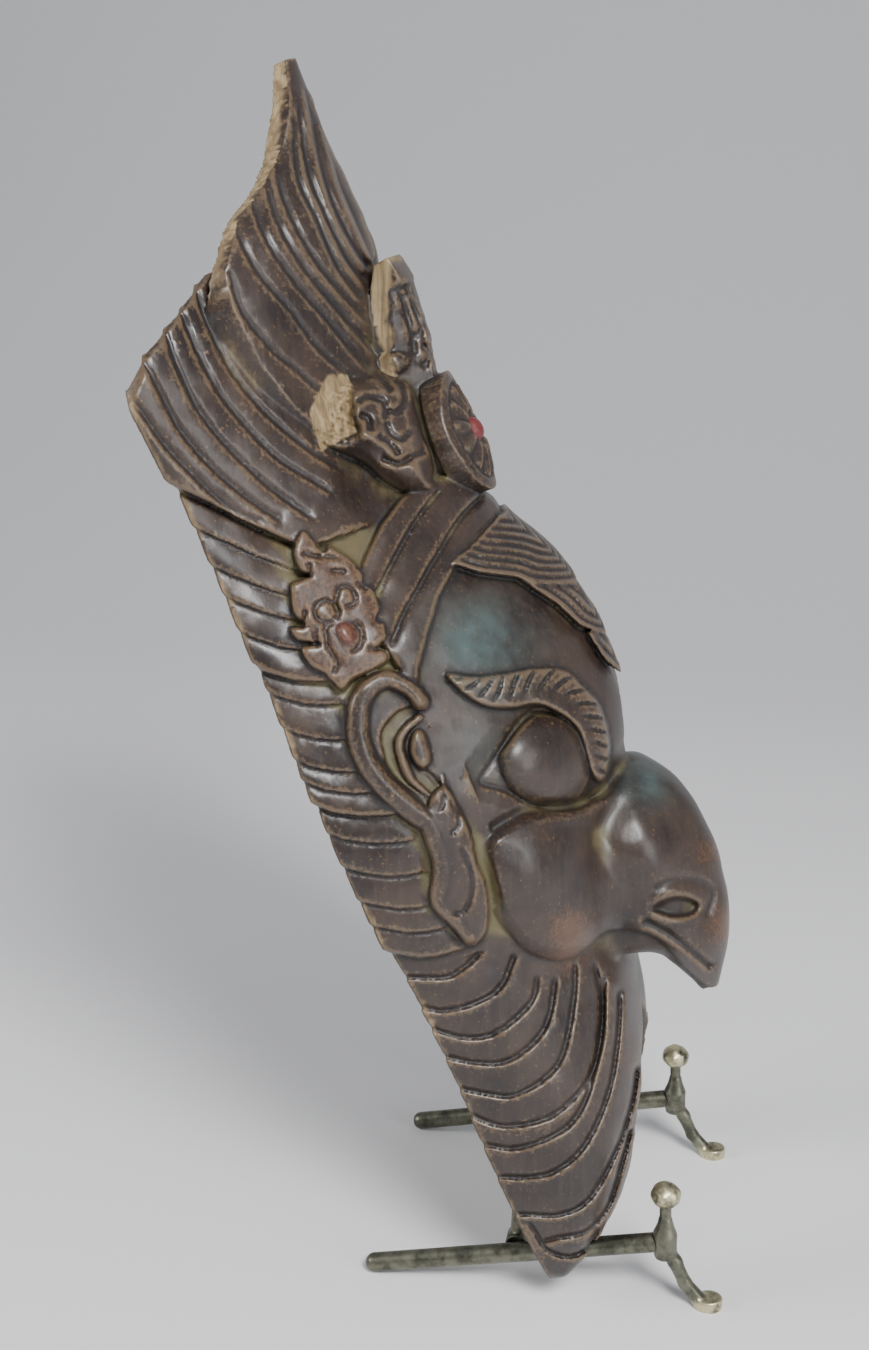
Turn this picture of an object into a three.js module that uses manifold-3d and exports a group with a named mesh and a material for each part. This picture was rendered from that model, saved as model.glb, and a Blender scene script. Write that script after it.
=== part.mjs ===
import * as THREE from 'three';
import Module from 'manifold-3d';
import { mergeVertices } from 'three/addons/utils/BufferGeometryUtils.js';

// Garuda dance mask of carved wood, leaning back on a small metal easel stand.
// All sizes are millimetres, +Z is up, and the face looks along -Y.

const wasm = await Module();
wasm.setup();

// Pose of the mask: v runs up its flat back, w runs out of the face, u runs across
const LEAN = THREE.MathUtils.degToRad(21.5);
const BACK_FOOT_Y = 66;
const BACK_FOOT_Z = 8;

// Middle of the whole object from front to back, which becomes Y = 0
const MIDDLE_Y = 110.9;

// The carving is laid out side-on, as seen from this point beside the mask
const SIGHT_U = 706.7;
const SIGHT_V = 427.1;
const SIGHT_W = 227.1;

// Profiles of the shell against the height v
const RIM_HALF_WIDTH = [
  [-2, 70], [5, 73], [14, 77], [30, 81], [63, 87], [100, 88], [122, 88], [174, 96],
  [196, 104], [239, 112], [320, 112], [357, 114], [394, 119], [431, 125], [460, 125],
];
const CROWN_HEIGHT = [
  [-2, 9], [5, 21], [14, 33], [30, 46], [63, 60], [83, 66], [106, 70], [140, 74], [180, 84],
  [196, 93], [212, 103], [228, 107], [240, 107], [262, 105.5], [286, 100], [300, 95.5], [323, 81],
  [345, 75], [380, 66],
  [400, 60], [431, 56], [460, 54],
];
const SECTION_POWER = [
  [0, 3], [60, 2.8], [100, 2.3], [140, 1.95], [180, 1.75], [300, 1.7], [340, 1.55], [380, 1.35],
  [431, 1.2],
];
const WALL_AT_RIM = 12.5;
const WALL_AT_CROWN = 16;

// Open notch between the two lobes below the beak, as half width against v
const LOBE_TIP_V = 2;
const LOBE_ROUNDING = 10;
const NOTCH_SLOPE = 0.85;
const NOTCH_HALF_WIDTH = [[-2, 65], [15, 65], [19, 58], [32, 51], [50, 40], [76, 18], [92, -6]];

// Upper edge of the side plumes
const SIDE_PLUME_TIP_V = 457;
const SIDE_PLUME_TIP_U = 80;
const SIDE_PLUME_FALL = 0.51;

// Thickness of the side plumes at their upper edge, and how fast it grows downwards
const SIDE_PLUME_EDGE = 4;
const SIDE_PLUME_SWELL = 0.5;

// Central plume
const PLUME_HALF_WIDTH = [
  [372, 52], [382, 65], [389, 70], [397, 76], [405, 81], [421, 86], [440, 90], [454, 89],
  [462, 82], [472, 68], [479, 52], [491, 30], [515, 13], [525, 7],
];
const PLUME_CENTRE = [[372, 66], [408, 71], [442, 75], [486, 74], [510, 73], [525, 74]];
const PLUME_EDGE = [
  [372, 50], [382, 48], [389, 46], [397, 43], [405, 41], [421, 38], [440, 37.5], [454, 40],
  [462, 44], [472, 47], [479, 55], [491, 62], [510, 70], [525, 72],
];
const PLUME_THICKNESS = [
  [372, 34], [430, 26], [445, 11], [458, 8], [480, 8], [492, 9], [505, 8.5], [515, 8], [525, 7],
];
const PLUME_FOOT_V = 372;
const PLUME_TIP_V = 525;

// Hooked beak
const BEAK_FRONT = [
  [88, 101], [96.6, 109], [112.5, 117], [129, 121.5], [152, 124], [173, 122], [189, 116],
  [197, 109], [203, 99],
];
const BEAK_BACK = [[88, 95], [98, 91.5], [106, 88], [116, 82], [122, 72], [127, 44], [132, 20]];
const BEAK_HALF_WIDTH = [
  [88, 4], [98, 11], [106, 17], [116, 23], [127, 29], [140, 33], [162, 36], [180, 35],
  [193, 30], [212, 20],
];
const BEAK_POWER = 2.2;
const BEAK_TOP_V = 204;
const BEAK_TIP_V = 89;

// Crown ornaments on the middle line
const CREST_HALF_WIDTH = 13;
const CREST_LEAF = [
  [378, 60], [400, 60], [414, 63], [426, 69], [438, 76], [439, 83], [427, 86], [404, 85], [381, 80],
];
const ROSETTE_V = 361;
const ROSETTE_RADIUS = 26.5;
const ROSETTE_BACK_W = 75;
const ROSETTE_FACE = [[335, 89], [352, 92], [366, 90.5], [378, 89], [387, 87]];
const ROSETTE_DOME = 7.5;
const ROSETTE_STEM_RADIUS = 20;
const ROSETTE_STEM_W = 60;

// Outlines of the carved fields, as height and depth in the side-on layout
const LEAF_PLAQUE = [
  [345, 1], [340, -5], [328, -7], [320, -14], [306, -18], [295, -18], [284, -16], [273, -10],
  [276, 7], [280, 16], [294, 20], [310, 21], [322, 18], [333, 10],
];
const EAR_HELIX = [
  [256, 21], [264, 18], [269, 12], [269, 4], [264, -4], [256, -9], [247, -12], [237, -13],
  [225, -10], [214, -5], [206, 1], [198, 5],
];
const EAR_LOBE = [
  [200, 2], [186, 4], [177, 2], [168, -3], [163, -10], [151, -5], [139, 1], [138, 4], [143, 11],
  [153, 16], [165, 19], [178, 19], [190, 21], [204, 20], [215, 18], [210, 8],
];
const EAR_BOWL = [[262, 16], [265, 4], [254, -6], [240, -7], [226, -4], [214, 4], [222, 18], [242, 24]];
const EAR_KNOB = [[240, 15], [229, 15], [218, 15]];
const HEADBAND = [
  [347, 60], [344, 48], [336, 35], [325, 24], [300, 23], [261, 23], [270, 27], [284, 37],
  [298, 48], [309, 61], [318, 75], [323, 85], [323, 105], [345, 105], [348, 80],
];
const HAIR_TUFTS = [
  [[310, 60], [302, 68], [295, 82], [289, 90], [285, 104], [283, 125], [326, 125], [323, 85]],
  [[293, 86], [278, 96], [266, 102], [259, 109], [254, 125], [286, 125], [288, 104]],
  [[262, 103], [248, 106], [239, 111], [236, 125], [256, 125]],
];
const BROW = [
  [264, 38], [258, 49], [254, 62], [252, 76], [248, 88], [240, 92], [229, 97], [215, 96],
  [203, 92], [195, 86], [199, 83], [211, 85], [222, 85], [229, 80], [234, 71], [234, 60],
  [239, 50], [246, 44], [255, 40],
];
const EYE = [
  [213, 36], [223, 51], [231, 63], [234, 72], [233, 78], [228, 83], [217, 85], [205, 83],
  [196, 77], [190, 69], [193, 60], [198, 54], [206, 46],
];
const EYE_CENTRE = [211, 70];
const EYE_RADIUS = 19;
const CHEEK = [
  [176, 20], [162, 18], [149, 17], [137, 20], [127, 25], [120, 34], [118, 43], [121, 52],
  [126, 64], [122, 77], [114, 85], [98, 92], [84, 104], [84, 140], [200, 140], [206, 112],
  [196, 92], [190, 73], [193, 56], [192, 41], [188, 27],
];
const CHEEK_BULB = [154, 44];
const CHEEK_BULB_RADIUS = 30;
const BEAK_BULB = [161, 95];
const BEAK_BULB_RADIUS = 22;
const NOSTRIL = [[131, 86], [135, 95], [133, 103], [127, 108], [123, 103], [124, 93]];
const LIP_LINE = [[126, 83], [116, 90], [104, 97], [95, 102]];
const CROWN_LEAF = [
  [378, 23], [387, 25], [396, 32], [402, 42], [401, 52], [400, 60], [394, 70], [387, 75],
  [378, 75], [369, 73], [358, 71], [348, 68], [341, 62], [344, 53], [353, 44], [365, 37],
];

// Overlapping tiers of the feather ruff: lower edge height against depth
const TIER_EDGES = [
  [[-60, 396], [-44, 381], [-32, 369], [-21, 357], [-12, 348], [0, 337]],
  [[-60, 312], [-47, 300], [-40, 291], [-29, 283], [-19, 279], [0, 274]],
  [[-60, 238], [-42, 224], [-37, 219], [-24, 213], [-13, 210], [0, 207]],
  [[-60, 158], [-36, 145], [-25, 139], [-16, 137], [0, 137]],
];

// Heights of the carving over the ground
const TIER_STEP = 6;
const LEAF_RISE = 7;
const HELIX_RISE = 9;
const HELIX_HALF_WIDTH = 5;
const LOBE_RISE = 8;
const BOWL_DEPTH = 3;
const BAND_RISE = 5;
const TUFT_RISE = 6.5;
const BROW_RISE = 6;
const EYE_RISE = 9;
const SOCKET_DEPTH = 2.5;
const CHEEK_RISE = 5;
const BULB_RISE = 7;
const BEAK_BULB_RISE = 3;
const NOSTRIL_DEPTH = 4;
const LIP_DEPTH = 3.5;
const LIP_HALF_WIDTH = 3;
const CROWN_RISE = 16;
const CROWN_SHOULDER = 9;
const KNOB_RISE = 7;
const EDGE_SOFTNESS = 3;
const SOCKET_REACH = 8;

// Depths b between which a raised field dies out
const TIER_FADE = [-12, 0];
const TOP_TIER_FADE = [20, 34];
const CHEEK_FADE = [92, 112];

// Facets of the carved solid
const GRID_STEP = 3;
const GRID_MARGIN = 12;
const RELIEF_STEP = 1.5;
const BEAK_BLEND = 5;
const THINNEST_HOLLOW = 2;
const CLEAR_OF_ZERO = 0.05;
const HALF_MASK_FACETS = 3450;
const THINNEST_FACET = 0.02;

// Stand
const RAIL_X = 60;
const RAIL_RADIUS = 4.3;
const RAIL_FRONT = [20, 31];
const RAIL_REAR = [150, RAIL_RADIUS];
const GAP = 0.3;
const CASTING_BALL = [20.5, 54.5];
const BALL_RADIUS = 6.6;
const NECK_RADIUS = 2.6;
const COLLAR_RADIUS = 5.4;
const LEG_RADIUS = 3.3;
const FOOT_Y = 0;
const FOOT_LENGTH = 12;
const FOOT_WIDTH = 10;
const FOOT_THICKNESS = 5;
const FOOT_SPLAY = 0.8;
const FINIAL_SQUASH = 0.86;
const LUG_RADIUS = 5;
const LUG_LENGTH = 9;
const LUG_BALL_RADIUS = 4.6;
const BACKREST_Y = 86;
const BACKREST_RADIUS = 3.4;
const BACKREST_TOP_X = 34;
const BACKREST_TOP_V = 182;
const BACKREST_BOW_Y = 9;
const BACKREST_BOW_Z = 2;

const lerp = (a, b, t) => a + (b - a) * t;
const clamp = (x, lo, hi) => Math.min(hi, Math.max(lo, x));
const smooth = (lo, hi, x) => {
  const t = clamp((x - lo) / (hi - lo), 0, 1);
  return t * t * (3 - 2 * t);
};

// Height of a profile at x, straight between its stations
function along(profile, x) {
  if (x <= profile[0][0]) return profile[0][1];
  for (let i = 1; i < profile.length; i++) {
    if (x <= profile[i][0]) {
      const [x0, y0] = profile[i - 1];
      const [x1, y1] = profile[i];
      return lerp(y0, y1, (x - x0) / (x1 - x0));
    }
  }
  return profile[profile.length - 1][1];
}

// Distance from (x, y) to an open line of points
function toLine(line, x, y, closed = false) {
  let best = Infinity;
  const n = line.length;
  for (let i = closed ? 0 : 1; i < n; i++) {
    const [ax, ay] = line[(i + n - 1) % n];
    const [bx, by] = line[i];
    const dx = bx - ax;
    const dy = by - ay;
    const t = clamp(((x - ax) * dx + (y - ay) * dy) / (dx * dx + dy * dy), 0, 1);
    best = Math.min(best, Math.hypot(x - ax - t * dx, y - ay - t * dy));
  }
  return best;
}

// How far (x, y) lies inside an outline, negative outside
function inside(outline, x, y) {
  let within = false;
  const n = outline.length;
  for (let i = 0; i < n; i++) {
    const [ax, ay] = outline[(i + n - 1) % n];
    const [bx, by] = outline[i];
    if ((ay > y) !== (by > y) && x < ax + ((y - ay) * (bx - ax)) / (by - ay)) within = !within;
  }
  const d = toLine(outline, x, y, true);
  return within ? d : -d;
}

const plateau = (depth) => smooth(-EDGE_SOFTNESS / 2, EDGE_SOFTNESS / 2, depth);

// Height of the feather ruff: each tier rises to its lower edge and drops to the next
function ruff(a, b) {
  const edges = TIER_EDGES.map((edge) => along(edge, b));
  const fade = 1 - smooth(...TIER_FADE, b);
  if (a > edges[0]) return TIER_STEP * (1 - smooth(...TOP_TIER_FADE, b));
  for (let i = 1; i < edges.length; i++) {
    if (a > edges[i]) return TIER_STEP * fade * smooth(edges[i - 1], edges[i], a - EDGE_SOFTNESS);
  }
  return 0;
}

// Height of the carving at a point of the side-on layout
function relief(a, b) {
  let h = ruff(a, b);
  const raise = (outline, rise) => {
    const p = plateau(inside(outline, a, b));
    h = lerp(h, Math.max(h, rise), p);
  };
  raise(HEADBAND, BAND_RISE);
  for (const tuft of HAIR_TUFTS) raise(tuft, TUFT_RISE);
  const eyeDepth = inside(EYE, a, b);
  h -= SOCKET_DEPTH * smooth(-SOCKET_REACH, 0, eyeDepth);
  const eyeDistance = Math.hypot(a - EYE_CENTRE[0], b - EYE_CENTRE[1]) / EYE_RADIUS;
  if (eyeDepth > 0) h += EYE_RISE * Math.sqrt(Math.max(0, 1 - eyeDistance * eyeDistance));
  raise(BROW, BROW_RISE);
  const cheekDepth = inside(CHEEK, a, b);
  if (cheekDepth > -EDGE_SOFTNESS) {
    const front = 1 - smooth(...CHEEK_FADE, b);
    h = lerp(h, CHEEK_RISE * front, plateau(cheekDepth));
    const d = Math.hypot(a - CHEEK_BULB[0], b - CHEEK_BULB[1]) / CHEEK_BULB_RADIUS;
    const e = Math.hypot(a - BEAK_BULB[0], b - BEAK_BULB[1]) / BEAK_BULB_RADIUS;
    h += BULB_RISE * Math.max(0, 1 - d * d) * plateau(cheekDepth);
    h += BEAK_BULB_RISE * Math.max(0, 1 - e * e) * plateau(cheekDepth);
  }
  h -= NOSTRIL_DEPTH * smooth(-2, 3, inside(NOSTRIL, a, b));
  h -= LIP_DEPTH * (1 - smooth(0, LIP_HALF_WIDTH, toLine(LIP_LINE, a, b)));
  h -= BOWL_DEPTH * plateau(inside(EAR_BOWL, a, b));
  raise(EAR_LOBE, LOBE_RISE);
  const helix = toLine(EAR_HELIX, a, b) / HELIX_HALF_WIDTH;
  h = Math.max(h, HELIX_RISE * Math.sqrt(Math.max(0, 1 - helix * helix)));
  const knob = toLine(EAR_KNOB, a, b) / HELIX_HALF_WIDTH;
  h = Math.max(h, KNOB_RISE * Math.sqrt(Math.max(0, 1 - knob * knob)));
  raise(LEAF_PLAQUE, LEAF_RISE);
  const crownDepth = inside(CROWN_LEAF, a, b);
  h = Math.max(h, CROWN_RISE * Math.sqrt(clamp(crownDepth / CROWN_SHOULDER, 0, 1)));
  return h;
}

// Largest value of a profile
function most(profile) {
  return Math.max(...profile.map(([, size]) => size));
}

// The relief is worked out once on a sheet and read back between its points
function reliefSheet() {
  const away = SIGHT_U / (SIGHT_U - most(RIM_HALF_WIDTH) - GRID_MARGIN);
  const a0 = SIGHT_V + (LOBE_TIP_V - GRID_MARGIN - SIGHT_V) * away;
  const a1 = SIGHT_V + (PLUME_TIP_V + GRID_MARGIN - SIGHT_V) * away;
  const b0 = SIGHT_W - (SIGHT_W + GRID_MARGIN) * away;
  const b1 = most(BEAK_FRONT) + GRID_MARGIN;
  const rows = Math.ceil((a1 - a0) / RELIEF_STEP);
  const cols = Math.ceil((b1 - b0) / RELIEF_STEP);
  const sheet = new Float32Array(rows * cols);
  for (let i = 0; i < rows; i++) {
    for (let j = 0; j < cols; j++) {
      sheet[i * cols + j] = relief(a0 + i * RELIEF_STEP, b0 + j * RELIEF_STEP);
    }
  }
  return (a, b) => {
    const x = clamp((a - a0) / RELIEF_STEP, 0, rows - 1.001);
    const y = clamp((b - b0) / RELIEF_STEP, 0, cols - 1.001);
    const i = Math.floor(x);
    const j = Math.floor(y);
    const k = i * cols + j;
    const near = lerp(sheet[k], sheet[k + 1], y - j);
    return lerp(near, lerp(sheet[k + cols], sheet[k + cols + 1], y - j), x - i);
  };
}

// Distance to a half-round section of half width hw, height hh and power n
function section(s, w, hw, hh, n) {
  const p = Math.abs(s) / hw;
  const q = Math.abs(w) / hh;
  const g = Math.pow(Math.pow(p, n) + Math.pow(q, n), 1 / n);
  if (g < 1e-3) return -Math.min(hw, hh);
  const gp = Math.pow(p / g, n - 1) / hw;
  const gq = Math.pow(q / g, n - 1) / hh;
  return (g - 1) / Math.hypot(gp, gq);
}

function softMin(a, b, k) {
  const h = clamp(0.5 + (0.5 * (b - a)) / k, 0, 1);
  return lerp(b, a, h) - k * h * (1 - h);
}

function softMax(a, b, k) {
  return -softMin(-a, -b, k);
}

// Central plume: a bowed plate with plain walls at its edges
function plume(s, v, w) {
  const half = along(PLUME_HALF_WIDTH, v);
  const slope = (along(PLUME_HALF_WIDTH, v + 2) - along(PLUME_HALF_WIDTH, v - 2)) / 4;
  const centre = along(PLUME_CENTRE, v);
  const drop = centre - along(PLUME_EDGE, v);
  const face = centre - drop * Math.min(1.2, (s / half) ** 2);
  const wall = (s - half) / Math.hypot(1, slope);
  const ends = Math.max(v - PLUME_TIP_V, PLUME_FOOT_V - v);
  return Math.max(w - face, face - along(PLUME_THICKNESS, v) - w, wall, ends);
}

function beak(s, v, w) {
  const front = along(BEAK_FRONT, v);
  const back = along(BEAK_BACK, v);
  const middle = (front + back) / 2;
  const body = section(s, w - middle, along(BEAK_HALF_WIDTH, v), (front - back) / 2, BEAK_POWER);
  return Math.max(body, BEAK_TIP_V - v, v - BEAK_TOP_V);
}

function ornaments(s, v, w) {
  const leaf = Math.max(-inside(CREST_LEAF, v, w), s - CREST_HALF_WIDTH);
  const r = Math.hypot(s, v - ROSETTE_V);
  const face = along(ROSETTE_FACE, v) - ROSETTE_DOME * (s / ROSETTE_RADIUS) ** 2;
  const disc = Math.max(r - ROSETTE_RADIUS, w - face, ROSETTE_BACK_W - w);
  const stem = Math.max(r - ROSETTE_STEM_RADIUS, w - ROSETTE_BACK_W - GRID_STEP, ROSETTE_STEM_W - w);
  return Math.min(leaf, disc, stem);
}

const heightAt = reliefSheet();

// The whole carved wood, negative inside
function carving(u, v, w) {
  const s = Math.abs(u);
  const rim = along(RIM_HALF_WIDTH, v);
  const crown = along(CROWN_HEIGHT, v);
  const power = along(SECTION_POWER, v);
  const topEdge = SIDE_PLUME_TIP_V - Math.abs(s - SIDE_PLUME_TIP_U) * SIDE_PLUME_FALL;
  let body = section(s, w, rim, crown, power);
  body = softMax(body, LOBE_TIP_V - v, LOBE_ROUNDING);
  body = softMin(body, beak(s, v, w), BEAK_BLEND);
  const away = SIGHT_U / (SIGHT_U - s);
  const a = SIGHT_V + (v - SIGHT_V) * away;
  const b = SIGHT_W + (w - SIGHT_W) * away;
  body -= heightAt(a, b);
  const thin = -body - (SIDE_PLUME_EDGE + SIDE_PLUME_SWELL * Math.max(0, topEdge - v));
  body = Math.max(body, v - topEdge, thin);
  body = Math.min(body, plume(s, v, w), ornaments(s, v, w));
  const hollow = section(s, w, rim - WALL_AT_RIM, Math.max(THINNEST_HOLLOW, crown - WALL_AT_CROWN), power);
  const notchFoot = NOTCH_HALF_WIDTH[1][0];
  const notchTop = NOTCH_HALF_WIDTH[NOTCH_HALF_WIDTH.length - 1][0];
  const notchSlope = v > notchFoot && v < notchTop ? NOTCH_SLOPE : 0;
  const notch = (along(NOTCH_HALF_WIDTH, v) - s) / Math.hypot(1, notchSlope);
  const rounding = lerp(LOBE_ROUNDING, 1, clamp((v - notchFoot) / notchFoot, 0, 1));
  return Math.max(softMax(body, notch, rounding), -hollow, -w);
}

// Skin of the carving for u >= 0, open on the middle plane
function halfSkin() {
  const v0 = LOBE_TIP_V - GRID_MARGIN;
  const w0 = -GRID_MARGIN / 3;
  const nu = Math.ceil((most(RIM_HALF_WIDTH) + GRID_MARGIN) / GRID_STEP) + 2;
  const nv = Math.ceil((PLUME_TIP_V + GRID_MARGIN - v0) / GRID_STEP) + 1;
  const nw = Math.ceil((most(BEAK_FRONT) + GRID_MARGIN - w0) / GRID_STEP) + 1;
  const at = (i, j, k) => (i * nv + j) * nw + k;
  const field = new Float32Array(nu * nv * nw);
  for (let i = 0; i < nu; i++) {
    for (let j = 0; j < nv; j++) {
      for (let k = 0; k < nw; k++) {
        let f = carving(i * GRID_STEP, v0 + j * GRID_STEP, w0 + k * GRID_STEP);
        if (Math.abs(f) < CLEAR_OF_ZERO) f = f < 0 ? -CLEAR_OF_ZERO : CLEAR_OF_ZERO;
        field[at(i, j, k)] = f;
      }
    }
  }
  const step = [0, at(1, 0, 0), at(0, 1, 0), at(1, 1, 0), at(0, 0, 1), at(1, 0, 1), at(0, 1, 1), at(1, 1, 1)];
  const points = [];
  const middle = [];
  const known = new Map();
  const cross = (base, p, q) => {
    const lo = Math.min(p, q);
    const hi = Math.max(p, q);
    const key = (base + step[lo]) * 8 + (hi - lo);
    if (known.has(key)) return known.get(key);
    const ia = base + step[lo];
    const ib = base + step[hi];
    const t = field[ia] / (field[ia] - field[ib]);
    const place = (index) => {
      const k = index % nw;
      const j = Math.floor(index / nw) % nv;
      const i = Math.floor(index / nw / nv);
      return [i, j, k];
    };
    const [ai, aj, ak] = place(ia);
    const [bi, bj, bk] = place(ib);
    points.push([
      lerp(ai, bi, t) * GRID_STEP,
      v0 + lerp(aj, bj, t) * GRID_STEP,
      w0 + lerp(ak, bk, t) * GRID_STEP,
    ]);
    middle.push(ai === 0 && bi === 0);
    known.set(key, points.length - 1);
    return points.length - 1;
  };
  const tets = [[0, 1, 3, 7], [0, 5, 1, 7], [0, 3, 2, 7], [0, 2, 6, 7], [0, 4, 5, 7], [0, 6, 4, 7]];
  const orders = { 1: [0, 1, 2, 3], 2: [1, 0, 3, 2], 4: [2, 0, 1, 3], 8: [3, 0, 2, 1] };
  const pairs = {
    3: [0, 1, 2, 3], 5: [0, 2, 3, 1], 9: [0, 3, 1, 2], 6: [1, 2, 0, 3], 10: [1, 3, 2, 0],
    12: [2, 3, 0, 1],
  };
  const faces = [];
  for (let i = 0; i < nu - 1; i++) {
    for (let j = 0; j < nv - 1; j++) {
      for (let k = 0; k < nw - 1; k++) {
        const base = at(i, j, k);
        const low = field[base] < 0;
        if (step.every((d) => field[base + d] < 0 === low)) continue;
        for (const tet of tets) {
          let bits = 0;
          for (let c = 0; c < 4; c++) {
            if (field[base + step[tet[c]]] < 0) bits |= 1 << c;
          }
          if (bits === 0 || bits === 15) continue;
          const x = (m, n) => cross(base, tet[m], tet[n]);
          if (pairs[bits]) {
            const [p, q, r, t] = pairs[bits];
            faces.push([x(p, r), x(p, t), x(q, t)], [x(p, r), x(q, t), x(q, r)]);
          } else if (orders[bits]) {
            const [p, q, r, t] = orders[bits];
            faces.push([x(p, q), x(p, r), x(p, t)]);
          } else {
            const [p, q, r, t] = orders[15 - bits];
            faces.push([x(p, q), x(p, t), x(p, r)]);
          }
        }
      }
    }
  }
  return { points, faces, middle };
}

const sub = (a, b) => [a[0] - b[0], a[1] - b[1], a[2] - b[2]];
const dot = (a, b) => a[0] * b[0] + a[1] * b[1] + a[2] * b[2];
const crossed = (a, b) => [
  a[1] * b[2] - a[2] * b[1],
  a[2] * b[0] - a[0] * b[2],
  a[0] * b[1] - a[1] * b[0],
];

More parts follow.
